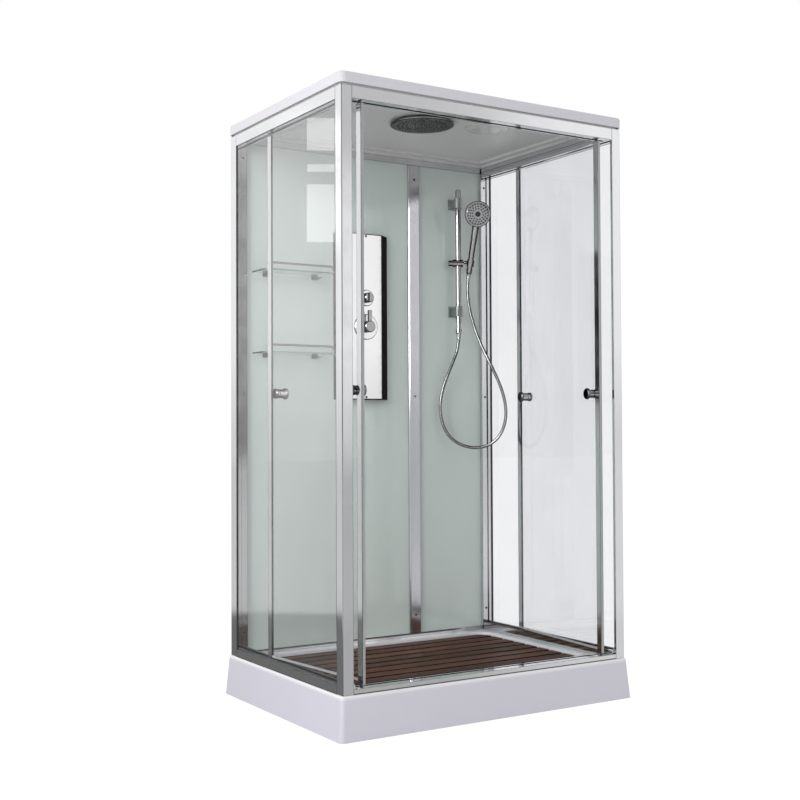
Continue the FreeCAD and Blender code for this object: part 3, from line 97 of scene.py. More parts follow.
class NodeSheet:
    """Adds nodes to one node tree and links them."""

    # The places of the Mix node's two colours and of the mixed one.
    MIX_COLOURS = (6, 7)
    MIX_RESULT = 2
    # A face counts as broad where its normal lies along the thickness by more than this.
    FLAT_FROM = 0.7

    def __init__(self, tree: bpy.types.NodeTree) -> None:
        """Start on an emptied tree."""
        self.tree = tree
        self.tree.nodes.clear()

    def add(self, kind: str, values: dict | None = None, **settings: object) -> bpy.types.Node:
        """Add one node.

        Args:
            kind: The node's type.
            values: A socket to link or a plain value for each input, by the input's name or place.
            settings: The node's own properties.

        Returns:
            The new node.
        """
        node = self.tree.nodes.new(kind)
        for key, value in settings.items():
            setattr(node, key, value)
        for key, value in (values or {}).items():
            if isinstance(value, Socket):
                self.tree.links.new(node.inputs[key], value)
            else:
                node.inputs[key].default_value = value
        return node

    def math(self, operation: str, *terms: Socket | float) -> Socket:
        """Add a Math node for sockets and numbers."""
        return self.add("ShaderNodeMath", dict(enumerate(terms)), operation=operation).outputs[0]

    def vector(self, operation: str, *terms: Socket) -> bpy.types.Node:
        """Add a Vector Math node."""
        return self.add("ShaderNodeVectorMath", dict(enumerate(terms)), operation=operation)

    def blend(self, mask: Socket, first: Colour | Socket, second: Colour | Socket) -> Socket:
        """Mix two colours by a mask.

        Args:
            mask: The share of the second colour.
            first: A colour or a socket.
            second: A colour or a socket.

        Returns:
            The mixed colour.
        """
        values = {0: mask}
        for place, colour in zip(self.MIX_COLOURS, (first, second)):
            values[place] = colour if isinstance(colour, Socket) else (*colour, 1.0)
        return self.add("ShaderNodeMix", values, data_type="RGBA").outputs[self.MIX_RESULT]

    def spread(self, value: Socket, low: float, high: float, first: Socket | float = 0.0,
               last: Socket | float = 1.0) -> Socket:
        """Map a range of values to another one, and hold what lies beyond at its ends.

        Args:
            value: The value.
            low: Where the range starts.
            high: Where it ends.
            first: What its start becomes.
            last: What its end becomes.

        Returns:
            The mapped value.
        """
        values = {"Value": value, "From Min": low, "From Max": high, "To Min": first, "To Max": last}
        return self.add("ShaderNodeMapRange", values).outputs[0]

    def split(self, point: Socket) -> bpy.types.Node:
        """Part a point into X, Y and Z."""
        return self.add("ShaderNodeSeparateXYZ", {0: point})

    def position(self, stretch: Point = (1.0, 1.0, 1.0)) -> Socket:
        """Give the surface point in the cabin's frame.

        Args:
            stretch: How much each direction is scaled before a pattern reads it.

        Returns:
            The scaled point.
        """
        point = self.add("ShaderNodeTexCoord").outputs["Object"]
        return self.add("ShaderNodeMapping", {"Vector": point, "Scale": stretch}).outputs["Vector"]

    def edges(self, across: Axis) -> Socket:
        """Mask the narrow faces of a sheet or a board.

        Args:
            across: The direction of its thickness.

        Returns:
            1 on the narrow faces and 0 on the broad ones.
        """
        normal = self.split(self.add("ShaderNodeTexCoord").outputs["Normal"])
        flat = self.math("GREATER_THAN", self.math("ABSOLUTE", normal.outputs[across.name]), self.FLAT_FROM)
        return self.math("SUBTRACT", 1.0, flat)

    def bump(self, height: Socket, strength: float, depth: float) -> Socket:
        """Turn a height into a normal.

        Args:
            height: The height, about 0 to 1.
            strength: The bump's strength.
            depth: The real depth of the relief in metres.

        Returns:
            The normal.
        """
        values = {"Height": height, "Strength": strength, "Distance": depth}
        return self.add("ShaderNodeBump", values).outputs["Normal"]

    def principled(self, values: dict) -> Socket:
        """Add the surface shader."""
        return self.add("ShaderNodeBsdfPrincipled", values).outputs[0]

    def choose(self, share: Socket, first: Socket, second: Socket) -> Socket:
        """Mix two shaders by the share of the second."""
        return self.add("ShaderNodeMixShader", {0: share, 1: first, 2: second}).outputs[0]

    def surface(self, shader: Socket) -> None:
        """Show a shader on the material's surface."""
        self.add("ShaderNodeOutputMaterial", {"Surface": shader})


@dataclass(frozen=True)
class Pattern:
    """A cloudy pattern, kept as a node group that the finishes share and built at its first use.

    Attributes:
        name: The node group's name.
        detail: The noise's detail.
        roughness: The noise's roughness.
        distortion: The noise's distortion.
        band: The part of the noise that Value spreads out.
    """

    name: str
    detail: float
    roughness: float
    distortion: float
    band: tuple[float, float]

    def draw(self) -> bpy.types.NodeTree:
        """Make the node group, whose Height is the bare noise and whose Value runs from Low to High.

        Returns:
            The group.
        """
        tree = bpy.data.node_groups.new(self.name, "ShaderNodeTree")
        tree.interface.new_socket("Point", in_out="INPUT", socket_type="NodeSocketVector")
        for key, value in (("Scale", 1.0), ("Low", 0.0), ("High", 1.0)):
            socket = tree.interface.new_socket(key, in_out="INPUT", socket_type="NodeSocketFloat")
            socket.default_value = value
        for key in ("Height", "Value"):
            tree.interface.new_socket(key, in_out="OUTPUT", socket_type="NodeSocketFloat")
        sheet = NodeSheet(tree)
        given = sheet.add("NodeGroupInput").outputs
        noise = sheet.add("ShaderNodeTexNoise", {
            "Vector": given["Point"], "Scale": given["Scale"], "Detail": self.detail,
            "Roughness": self.roughness, "Distortion": self.distortion}).outputs[0]
        value = sheet.spread(noise, *self.band, given["Low"], given["High"])
        sheet.add("NodeGroupOutput", {"Height": noise, "Value": value})
        return tree

    def lay(self, sheet: NodeSheet, point: Socket, **values: float) -> bpy.types.Node:
        """Place the pattern in a material.

        Args:
            sheet: The material's node sheet.
            point: The surface point that the pattern reads.
            values: Its Scale, and its Low and High.

        Returns:
            The group node.
        """
        group = bpy.data.node_groups.get(self.name) or self.draw()
        return sheet.add("ShaderNodeGroup", {"Point": point, **values}, node_tree=group)


SMUDGES = Pattern("smudges", 4.0, 0.6, 0.8, (0.32, 0.68))
GRAIN = Pattern("fine_grain", 3.0, 0.55, 0.0, (0.35, 0.65))


@dataclass(frozen=True)
class Finish:
    """A surface finish, which makes its material at its first use."""

    name: str

    def material(self) -> bpy.types.Material:
        """Give the finish's material.

        Returns:
            The material.
        """
        found = bpy.data.materials.get(self.name)
        if found is None:
            found = bpy.data.materials.new(self.name)
            found.use_nodes = True
            self.draw(NodeSheet(found.node_tree))
        return found

    def draw(self, sheet: NodeSheet) -> None:
        """Draw the material's nodes."""
        raise NotImplementedError


@dataclass(frozen=True)
class Moulded(Finish):
    """Cast acrylic, moulded plastic or rubber with a faint peel and wiped patches.

    Attributes:
        soil: The colour of the duller patches.
        peel: The strength of the fine relief.
        clearness: The share of light that passes through.
        shine: The level of the plain reflection.
    """

    colour: Colour
    soil: Colour
    rough_low: float = 0.14
    rough_high: float = 0.24
    peel_scale: float = 160.0
    peel: float = 0.05
    peel_depth: float = 0.0004
    coat: float = 0.0
    coat_rough: float = 0.04
    clearness: float = 0.0
    shine: float = 0.5
    soil_scale: float = 5.0
    soil_share: float = 0.5
    wipe_scale: float = 14.0

    def draw(self, sheet: NodeSheet) -> None:
        """Draw the base colour, the wiped patches and the peel.

        Args:
            sheet: The material's node sheet.
        """
        point = sheet.position()
        soil = SMUDGES.lay(sheet, point, Scale=self.soil_scale, High=self.soil_share)
        wiped = SMUDGES.lay(sheet, point, Scale=self.wipe_scale, Low=self.rough_low, High=self.rough_high)
        peel = GRAIN.lay(sheet, point, Scale=self.peel_scale)
        sheet.surface(sheet.principled({
            "Base Color": self.paint(sheet, sheet.blend(soil.outputs["Value"], self.colour, self.soil)),
            "Roughness": wiped.outputs["Value"],
            "Normal": sheet.bump(peel.outputs["Height"], self.peel, self.peel_depth),
            "Coat Weight": self.coat, "Coat Roughness": self.coat_rough,
            "Transmission Weight": self.clearness, "Specular IOR Level": self.shine}))

    def paint(self, sheet: NodeSheet, ground: Socket) -> Socket:
        """Give the colour that shows, here the ground colour itself."""
        return ground


@dataclass(frozen=True)
class HighlightedRim(Moulded):
    """A moulding with a painted highlight along its rim: a lighter colour above a height.

    Attributes:
        lip: The colour of the painted highlight on the rim.
        highlight_low: The height where the painted highlight starts.
        highlight_high: The height from which its colour is full.
    """

    lip: Colour = (1.0, 1.0, 1.0)
    highlight_low: float = 0.0
    highlight_high: float = 1.0

    def paint(self, sheet: NodeSheet, ground: Socket) -> Socket:
        """Fade the ground colour into the painted highlight's."""
        height = sheet.split(sheet.position()).outputs["Z"]
        return sheet.blend(sheet.spread(height, self.highlight_low, self.highlight_high), ground, self.lip)


@dataclass(frozen=True)
class DrawnMetal(Finish):
    """Polished extruded aluminium with drawn lines along its run and painted shade along its arrises.

    Attributes:
        run: The direction of the extrusion.
        line_share: The scale of the lines' pattern along the run.
        arris_bend: The cosines of the edge's turn where an arris starts and where it is full.
    """

    colour: Colour
    streak: Colour
    run: Axis
    rough_low: float = 0.07
    rough_high: float = 0.15
    wipe_scale: float = 7.0
    line_scale: float = 1500.0
    line_share: float = 0.012
    relief: float = 0.02
    relief_depth: float = 0.0002
    # The colour of the painted shade along the arrises.
    arris: Colour = (0.05, 0.05, 0.052)
    arris_width: float = 0.0035
    arris_bend: tuple[float, float] = (0.995, 0.9)
    arris_samples: int = 4

    def arrises(self, sheet: NodeSheet) -> Socket:
        """Mask the narrow strips along the profile's arrises, where shade is painted.

        Args:
            sheet: The material's node sheet.

        Returns:
            The mask.
        """
        rounded = sheet.add("ShaderNodeBevel", {"Radius": self.arris_width}, samples=self.arris_samples)
        flat = sheet.add("ShaderNodeNewGeometry").outputs["Normal"]
        facing = sheet.vector("DOT_PRODUCT", rounded.outputs[0], flat)
        return sheet.spread(facing.outputs["Value"], *self.arris_bend)

    def draw(self, sheet: NodeSheet) -> None:
        """Draw the lines along the run, the painted shade on the arrises, the wiped patches and the fine
        relief.

        Args:
            sheet: The material's node sheet.
        """
        lines = GRAIN.lay(sheet, sheet.position(self.run.drawn_out(self.line_share)), Scale=self.line_scale)
        wiped = SMUDGES.lay(sheet, sheet.position(), Scale=self.wipe_scale,
                            Low=self.rough_low, High=self.rough_high)
        face = sheet.blend(lines.outputs["Value"], self.colour, self.streak)
        sheet.surface(sheet.principled({
            "Base Color": sheet.blend(self.arrises(sheet), face, self.arris),
            "Roughness": wiped.outputs["Value"],
            "Normal": sheet.bump(lines.outputs["Height"], self.relief, self.relief_depth),
            "Metallic": 1.0}))


@dataclass(frozen=True)
class Plated(Finish):
    """Chrome plate with water marks, and painted shade that darkens it toward its outline.

    Attributes:
        mark: The colour of the water marks.
        rim: The colour of the painted shade toward the outline.
        rim_from: How far a face turns from the eye where that colour starts.
        rim_to: How far it turns where that colour is full.
    """

    colour: Colour
    mark: Colour
    rough_low: float = 0.03
    rough_high: float = 0.10
    # The colour of the painted shade toward the outline.
    rim: Colour = (0.03, 0.03, 0.031)
    rim_bias: float = 0.5
    rim_from: float = 0.14
    rim_to: float = 0.42
    mark_scale: float = 60.0
    mark_share: float = 0.6
    wipe_scale: float = 38.0
    peel_scale: float = 240.0
    peel: float = 0.015
    peel_depth: float = 0.0003

    def outline(self, sheet: NodeSheet) -> Socket:
        """Mask the parts that turn away from the eye, where shade is painted."""
        turned = sheet.add("ShaderNodeLayerWeight", {"Blend": self.rim_bias}).outputs["Facing"]
        return sheet.spread(turned, self.rim_from, self.rim_to)

    def draw(self, sheet: NodeSheet) -> None:
        """Draw the water marks in colour and gloss, and the painted shade at the outline.

        Args:
            sheet: The material's node sheet.
        """
        point = sheet.position()
        marks = SMUDGES.lay(sheet, point, Scale=self.mark_scale, High=self.mark_share)
        wiped = SMUDGES.lay(sheet, point, Scale=self.wipe_scale, Low=self.rough_low, High=self.rough_high)
        peel = GRAIN.lay(sheet, point, Scale=self.peel_scale)
        plate = sheet.blend(marks.outputs["Value"], self.colour, self.mark)
        sheet.surface(sheet.principled({
            "Base Color": sheet.blend(self.outline(sheet), plate, self.rim),
            "Roughness": wiped.outputs["Value"],
            "Normal": sheet.bump(peel.outputs["Height"], self.peel, self.peel_depth),
            "Metallic": 1.0}))


@dataclass(frozen=True)
class Glass(Finish):
    """Sheet glass with green polished edges.

    Attributes:
        cloud: The colour of the faint clouds on the broad faces.
        across: The direction of its thickness.
        edge: The colour of its narrow faces.
    """

    colour: Colour
    cloud: Colour
    across: Axis
    edge: Colour = (0.60, 0.76, 0.69)
    cloud_scale: float = 4.0
    cloud_stretch: Point = (1.0, 1.0, 1.0)

    def edged(self, sheet: NodeSheet) -> Socket:
        """Give the clouded colour of the broad faces, and the green of the edges.

        Args:
            sheet: The material's node sheet.

        Returns:
            The colour.
        """
        clouds = SMUDGES.lay(sheet, sheet.position(self.cloud_stretch), Scale=self.cloud_scale)
        face = sheet.blend(clouds.outputs["Value"], self.colour, self.cloud)
        return sheet.blend(sheet.edges(self.across), face, self.edge)


@dataclass(frozen=True)
class ClearGlass(Glass):
    """Toughened glass that lets light through to what is behind it."""

    bending: float = 1.45
    wave_scale: float = 3.0
    wave: float = 0.02
    wave_depth: float = 0.002

    def draw(self, sheet: NodeSheet) -> None:
        """Draw the tint, the green edges and the way that shadow rays pass.

        Args:
            sheet: The material's node sheet.
        """
        waves = GRAIN.lay(sheet, sheet.position(), Scale=self.wave_scale)
        glass = sheet.principled({
            "Base Color": self.edged(sheet),
            "Normal": sheet.bump(waves.outputs["Height"], self.wave, self.wave_depth),
            "Transmission Weight": 1.0, "Roughness": 0.0, "IOR": self.bending})
        open_way = sheet.add("ShaderNodeBsdfTransparent", {"Color": (*self.colour, 1.0)}).outputs[0]
        shadow = sheet.add("ShaderNodeLightPath").outputs["Is Shadow Ray"]
        sheet.surface(sheet.choose(shadow, glass, open_way))


@dataclass(frozen=True)
class PaintedGlass(Glass):
    """Glass painted on its back: a pale colour under a glossy face."""

    cloud_scale: float = 3.0
    cloud_stretch: Point = (1.0, 1.0, 0.25)
    bending: float = 1.5
    coat: float = 0.5
    coat_rough: float = 0.02
    rough_low: float = 0.05
    rough_high: float = 0.11
    wipe_scale: float = 11.0

    def draw(self, sheet: NodeSheet) -> None:
        """Draw the paint, the green edges and the glossy face.

        Args:
            sheet: The material's node sheet.
        """
        wiped = SMUDGES.lay(sheet, sheet.position(), Scale=self.wipe_scale,
                            Low=self.rough_low, High=self.rough_high)
        sheet.surface(sheet.principled({
            "Base Color": self.edged(sheet), "Roughness": wiped.outputs["Value"], "IOR": self.bending,
            "Coat Weight": self.coat, "Coat Roughness": self.coat_rough}))


@dataclass(frozen=True)
class OiledWood(Finish):
    """Dark oiled hardwood whose boards differ from one another and have painted shade on their sides, where
    the gaps lie.

    Attributes:
        side_shade: The colour of the painted shade on the boards' sides.
        pitch: The distance from one board to the next.
        first: Where the first board starts.
        run: The direction of the boards.
    """

    dark: Colour
    light: Colour
    side_shade: Colour
    pitch: float
    first: float
    run: Axis
    grain_share: float = 0.05
    fibre_scale: float = 150.0
    fibre_base: float = 0.5
    figure_scale: float = 22.0
    tone_share: float = 0.5
    wipe_scale: float = 40.0
    rough_low: float = 0.38
    rough_high: float = 0.6
    shine: float = 0.06
    relief: float = 0.25
    relief_depth: float = 0.0006

    def board(self, sheet: NodeSheet) -> bpy.types.Node:
        """Give each board a value and a colour of its own.

        Args:
            sheet: The material's node sheet.

        Returns:
            The node with the board's Value and Color.
        """
        across = Axis.Y if self.run is Axis.X else Axis.X
        place = sheet.math("SUBTRACT", sheet.split(sheet.position()).outputs[across.name], self.first)
        number = sheet.math("FLOOR", sheet.math("DIVIDE", place, self.pitch))
        return sheet.add("ShaderNodeTexWhiteNoise", {"W": number}, noise_dimensions="1D")

    def draw(self, sheet: NodeSheet) -> None:
        """Draw the grain along the run, a tone for each board and the painted shade on the boards' sides.

        Args:
            sheet: The material's node sheet.
        """
        board = self.board(sheet).outputs
        point = sheet.vector("ADD", sheet.position(self.run.drawn_out(self.grain_share)),
                             board["Color"]).outputs[0]
        fibres = GRAIN.lay(sheet, point, Scale=self.fibre_scale).outputs
        figure = SMUDGES.lay(sheet, point, Scale=self.figure_scale)
        both = sheet.math("ADD", figure.outputs["Value"], board["Value"])
        tone = sheet.math("MULTIPLY", both, self.tone_share)
        mask = sheet.math("MULTIPLY", tone, sheet.math("ADD", fibres["Value"], self.fibre_base))
        wiped = SMUDGES.lay(sheet, point, Scale=self.wipe_scale, Low=self.rough_low, High=self.rough_high)
        face = sheet.blend(mask, self.dark, self.light)
        # The boards' narrow sides take the painted shade.
        sheet.surface(sheet.principled({
            "Base Color": sheet.blend(sheet.edges(Axis.Z), face, self.side_shade),
            "Roughness": wiped.outputs["Value"],
            "Normal": sheet.bump(fibres["Height"], self.relief, self.relief_depth),
            "Specular IOR Level": self.shine}))


ALUMINIUM: Colour = (0.83, 0.83, 0.845)
ALUMINIUM_STREAK: Colour = (0.77, 0.775, 0.79)

# The tray's rim has a painted highlight: its colour turns lighter from 0.130 m up to 0.139 m.
ACRYLIC = HighlightedRim("cast_acrylic", (0.75, 0.735, 0.815), (0.73, 0.715, 0.795), 0.14, 0.18, coat=0.5,
                 lip=(0.92, 0.915, 0.95), highlight_low=0.130, highlight_high=0.139)
ROOF_SHEET = Moulded("roof_sheet", (0.75, 0.74, 0.79), (0.73, 0.72, 0.77), 0.45, 0.55, shine=0.2)
CEILING_SHEET = Moulded("ceiling_sheet", (0.68, 0.67, 0.67), (0.67, 0.66, 0.66), 0.28, 0.31, peel=0.0)
BLACK_PLASTIC = Moulded("matt_black", (0.02, 0.02, 0.021), (0.035, 0.035, 0.036), 0.4, 0.55, peel=0.2)
COLUMN_SHELL = Moulded("column_black", (0.020, 0.021, 0.020), (0.026, 0.027, 0.026), 0.35, 0.45, shine=0.0)
COLUMN_FACE = Plated("column_mirror", (0.90, 0.90, 0.91), (0.87, 0.87, 0.88), 0.04, 0.08)
SPRAY_PLASTIC = Moulded("spray_face_plastic", (0.46, 0.465, 0.465), (0.42, 0.425, 0.425), 0.25, 0.4)
NOZZLE_RUBBER = Moulded("nozzle_rubber", (0.03, 0.034, 0.036), (0.05, 0.055, 0.057), 0.5, 0.65, peel=0.2)
LAMP_COVER = Moulded("lamp_cover", (0.62, 0.62, 0.61), (0.56, 0.56, 0.55), 0.12, 0.2, coat=0.3)
CLEAR_SEAL = Moulded("clear_seal", (0.62, 0.65, 0.65), (0.52, 0.55, 0.56), 0.28, 0.42, clearness=0.35)
GASKET = Moulded("glazing_gasket", (0.05, 0.052, 0.055), (0.08, 0.082, 0.085), 0.5, 0.65, peel=0.2)
NYLON = Moulded("guide_nylon", (0.10, 0.10, 0.105), (0.14, 0.14, 0.145), 0.4, 0.5)
CHROME = Plated("chrome_plate", (0.86, 0.865, 0.87), (0.78, 0.785, 0.79))
# A darker copy of the chrome plate, as painted shade for the dark surroundings that the knobs, levers and
# shelf rails mirror.
SHADED_CHROME = Plated("shaded_chrome", (0.42, 0.42, 0.425), (0.36, 0.36, 0.365), rim_from=0.12, rim_to=0.45)
SCREW_STEEL = Plated("screw_steel", (0.10, 0.10, 0.105), (0.08, 0.08, 0.085), 0.2, 0.3)
CHROMED_PLASTIC = Plated("bracket_chrome", (0.50, 0.53, 0.52), (0.45, 0.48, 0.47), 0.45, 0.55,
                         rim=(0.40, 0.43, 0.42))
# A darker copy of the chrome plate for the hand shower and its fittings, as painted shade for the dark
# surroundings they mirror.
HAND_CHROME = Plated("hand_chrome", (0.60, 0.60, 0.605), (0.52, 0.52, 0.525), rim_from=0.04, rim_to=0.2)
RAIN_STEEL = Plated("rain_head_steel", (0.105, 0.133, 0.14), (0.08, 0.105, 0.112), 0.2, 0.32)
HOSE_STEEL = Plated("hose_steel", (0.78, 0.78, 0.785), (0.66, 0.66, 0.665), 0.12, 0.22,
                    rim_from=0.06, rim_to=0.3)
WALL_GLASS = PaintedGlass("painted_wall_glass", (0.63, 0.70, 0.665), (0.595, 0.66, 0.63), Axis.Y)
SHELF_GLASS = ClearGlass("shelf_plate_glass", (0.95, 0.98, 0.968), (0.93, 0.965, 0.95), Axis.Z)
SIDE_GLASS = {
    Side.LEFT: ClearGlass("side_glass", (0.975, 0.982, 0.982), (0.96, 0.968, 0.968), Axis.X),
    Side.RIGHT: ClearGlass("right_glass", (0.915, 0.92, 0.935), (0.895, 0.90, 0.915), Axis.X)}
METAL_RUN = {axis: DrawnMetal("drawn_aluminium_" + axis.name.lower(), ALUMINIUM, ALUMINIUM_STREAK, axis)
             for axis in Axis}


class Workshop:
    """Makes the pieces of the cabin from meshes, and dresses its CAD nodes."""

    SMOOTH_UNDER = math.radians(35.0)
    MERGE_UNDER = 1e-6
    BAR_SEGMENTS = 2

    @staticmethod
    def dress(finish: Finish, *names: str) -> None:
        """Give CAD nodes a finish.

        Args:
            finish: The finish.
            names: The nodes.
        """
        for name in names:
            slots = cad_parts[name].data.materials
            slots.clear()
            slots.append(finish.material())
            LOG.info("dressed %s in %s", name, finish.name)

    @staticmethod
    def enter(mesh: bpy.types.Mesh, name: str, finish: Finish) -> bpy.types.Object:
        """Place a mesh in the scene as a piece of the cabin.

        Args:
            mesh: The mesh, with its place in its points.
            name: The piece's name.
            finish: Its finish.

        Returns:
            The piece.
        """
        mesh.materials.append(finish.material())
        piece = bpy.data.objects.new(name, mesh)
        bpy.context.scene.collection.objects.link(piece)
        return piece

    @classmethod
    def settle(cls, shape: bmesh.types.BMesh, name: str, finish: Finish, body: str,
               slot: str) -> bpy.types.Object:
        """Close a bmesh and place it as a piece that moves with a body.

        Args:
            shape: The bmesh, which is freed.
            name: The piece's name.
            finish: Its finish.
            body: The body.
            slot: Not used.

        Returns:
            The piece.
        """
        bmesh.ops.remove_doubles(shape, verts=shape.verts, dist=cls.MERGE_UNDER)
        bmesh.ops.recalc_face_normals(shape, faces=shape.faces)
        mesh = bpy.data.meshes.new(name)
        shape.to_mesh(mesh)
        shape.free()
        mesh.shade_smooth()
        mesh.set_sharp_from_angle(angle=cls.SMOOTH_UNDER)
        piece = cls.enter(mesh, name, finish)
        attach(piece, body)
        LOG.info("made %s on %s", name, body)
        return piece

    @staticmethod
    def turn(shape: bmesh.types.BMesh, half: Outline, place: Matrix, steps: int = 32) -> None:
        """Spin a half outline about an axis.

        Args:
            shape: The bmesh that gets the turned shape.
            half: Radius and height of each corner of the outline.
            place: Puts the axis, Z, and its foot in the cabin.
            steps: Segments of the full turn.
        """
        before = set(shape.verts)
        verts = [shape.verts.new((radius, 0.0, height)) for radius, height in half]
        edges = [shape.edges.new(pair) for pair in zip(verts, verts[1:])]
        bmesh.ops.spin(shape, geom=verts + edges, cent=(0, 0, 0), axis=(0, 0, 1), dvec=(0, 0, 0),
                       angle=FULL_TURN, steps=steps, use_merge=True, use_duplicate=False)
        fresh = [vert for vert in shape.verts if vert not in before]
        bmesh.ops.transform(shape, matrix=place, verts=fresh)

    @classmethod
    def bar(cls, shape: bmesh.types.BMesh, low: Point, high: Point, round_off: float) -> None:
        """Add a straight bar with rounded edges.

        Args:
            shape: The bmesh that gets the bar.
            low: Its lowest corner.
            high: Its highest corner.
            round_off: The radius of its edges.
        """
        first, last = Vector(low), Vector(high)
        place = Matrix.Translation((first + last) / 2.0) @ Matrix.Diagonal((*(last - first), 1.0))
        made = bmesh.ops.create_cube(shape, size=1.0, matrix=place)
        edges = list({edge for vert in made["verts"] for edge in vert.link_edges})
        bmesh.ops.bevel(shape, geom=edges, offset=round_off, offset_type="OFFSET", segments=cls.BAR_SEGMENTS,
                        profile=0.5, affect="EDGES", material=-1)

    @staticmethod
    def nub(shape: bmesh.types.BMesh, place: Matrix, wide: float, narrow: float, height: float,
            sides: int) -> None:
        """Add a small closed cone that stands on a face.

        Args:
            shape: The bmesh that gets the cone.
            place: Puts its foot and its axis, Z, in the cabin.
            wide: The radius of its foot.
            narrow: The radius of its tip.
            height: Its height.
            sides: Its sides.
        """
        middle = place @ Matrix.Translation((0.0, 0.0, height / 2.0))
        bmesh.ops.create_cone(shape, cap_ends=True, cap_tris=False, segments=sides, radius1=wide,
                              radius2=narrow, depth=height, matrix=middle)


@dataclass
class Hose:
    """The flexible shower hose between the riser's outlet and the hand shower.

    Attributes:
        wire: The radius of the outer wire.
        pitch: The distance between the wire's turns.
        around: Points of the wire in one turn.
        smoothness: How finely the line is divided.
        roundness: How finely the tube's section is divided.
        neck_foot: The height where the last stretch, the neck, starts.
        held: How far below the upper end the neck's second height lies.
        crimp: The outline of a sleeve: how far out from the hose, and how far along it.
        corners: The points that lead the hose from the outlet to the hand shower.
    """

    diameter: float = 0.014
    wire: float = 0.0009
    pitch: float = 0.0042
    around: int = 8
    smoothness: int = 10
    roundness: int = 4
    neck_foot: float = 1.49
    held: float = 0.026
    crimp: Outline = field(default_factory=lambda: [
        (0.0002, 0.0), (0.0016, 0.001), (0.0016, 0.007), (0.0008, 0.009), (0.0014, 0.011), (0.0010, 0.019),
        (0.0002, 0.021)])
    corners: list[Point] = field(default_factory=lambda: [
        (0.402, 0.350, 1.387), (0.400, 0.350, 1.330), (0.370, 0.354, 1.262), (0.336, 0.364, 1.180),
        (0.319, 0.371, 1.104), (0.324, 0.373, 1.040), (0.346, 0.366, 0.976), (0.386, 0.339, 0.930),
        (0.440, 0.300, 0.912), (0.490, 0.262, 0.923), (0.524, 0.228, 0.963), (0.537, 0.205, 1.030),
        (0.529, 0.198, 1.102), (0.505, 0.204, 1.178), (0.470, 0.222, 1.262), (0.452, 0.270, 1.350),
        (0.442, 0.310, 1.446), (0.440, 0.335, 1.524), (0.44364, 0.34486, 1.60270),
        (0.44399, 0.33493, 1.64144)])

    @staticmethod
    def mesh_along(name: str, kind: Line, spots: list[Point] | list[Vector],
                   **settings: float) -> bpy.types.Mesh:
        """Make the mesh of a curve.

        Args:
            name: The mesh's name.
            kind: How the curve follows its points.
            spots: The points that lead it.
            settings: The curve's own properties.

        Returns:
            The mesh.
        """
        curve = bpy.data.curves.new(name + "_line", "CURVE")
        curve.dimensions = "3D"
        for key, value in settings.items():
            setattr(curve, key, value)
        line = curve.splines.new(kind.value)
        line.points.add(len(spots) - 1)
        for point, spot in zip(line.points, spots):
            point.co = (*spot, 1.0)
        line.order_u = 3
        line.use_endpoint_u = True
        probe = bpy.data.objects.new(name + "_line", curve)
        mesh = bpy.data.meshes.new_from_object(probe)
        mesh.name = name
        bpy.data.objects.remove(probe)
        bpy.data.curves.remove(curve)
        return mesh

    def line_points(self) -> list[Vector]:
        """Read the points that the smooth line through the corners passes.

        Returns:
            The points, from the outlet to the hand shower.
        """
        mesh = self.mesh_along("hose_course", Line.SMOOTH, self.corners, resolution_u=self.smoothness)
        points = [vert.co.copy() for vert in mesh.vertices]
        bpy.data.meshes.remove(mesh)
        return points

    def stretches(self) -> tuple[list[Vector], list[Vector], list[Vector]]:
        """Part the line where it stands upright on its way up, and again below the hand shower.

        Returns:
            The stretch from the outlet round the loop, the one that goes up, and the neck at the hand shower.
        """
        points = self.line_points()
        cut = max(range(len(points)), key=lambda place: points[place].x)
        neck = next(place for place in range(cut, len(points)) if points[place].z > self.neck_foot)
        return points[:cut + 1], points[cut:neck + 1], points[neck:]

    def winding_points(self, points: list[Vector]) -> list[Vector]:
        """Work out the spiral of the outer wire round a stretch of the hose.

        Args:
            points: The stretch's line.

        Returns:
            The spiral's points.
        """
        radius = self.diameter / 2.0 - self.wire
        side = Vector((0.0, 1.0, 0.0))
        step = self.pitch / self.around
        spiral, turn, left = [], 0.0, 0.0
        for start, end in zip(points, points[1:]):
            run = end - start
            along = run.normalized()
            side = (side - along * side.dot(along)).normalized()
            other = along.cross(side)
            while left < run.length:
                spot = start + along * left
                spiral.append(spot + (side * math.cos(turn) + other * math.sin(turn)) * radius)
                turn += FULL_TURN / self.around
                left += step
            left -= run.length
        return spiral

    def follow(self, name: str, spots: list[Vector], radius: float, roundness: int, bodies: tuple[str, str]) -> bpy.types.Object:
        """Make a tube along points.

        Args:
            name: The piece's name.
            spots: The points.
            radius: The tube's radius.
            roundness: How finely its section is divided.
            bodies: The two bodies.

        Returns:
            The piece.
        """
        mesh = self.mesh_along(name, Line.STRAIGHT, spots, bevel_depth=radius, bevel_resolution=roundness,
                               use_fill_caps=True)
        mesh.shade_smooth()
        piece = Workshop.enter(mesh, name, HOSE_STEEL)
        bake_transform(piece)
        LOG.info("made %s between %s and %s", name, *bodies)
        return piece

    def stretch(self, end: str, points: list[Vector], bodies: tuple[str, str], heights: tuple[float, float],
                *sleeve: bpy.types.Object) -> bpy.types.Object:
        """Args:
            end: The name of its end.
            points: Its line, from its own end.
            bodies: The two bodies that it goes between.
            heights: Not used.
            sleeve: Not used.

        Returns:
            The stretch's tube.
        """
        core = self.diameter / 2.0 - self.wire
        tube = self.follow("hose_tube_" + end, points, core, self.roundness, bodies)
        wire = self.follow("hose_wire_" + end, self.winding_points(points), self.wire, 0, bodies)
        return tube

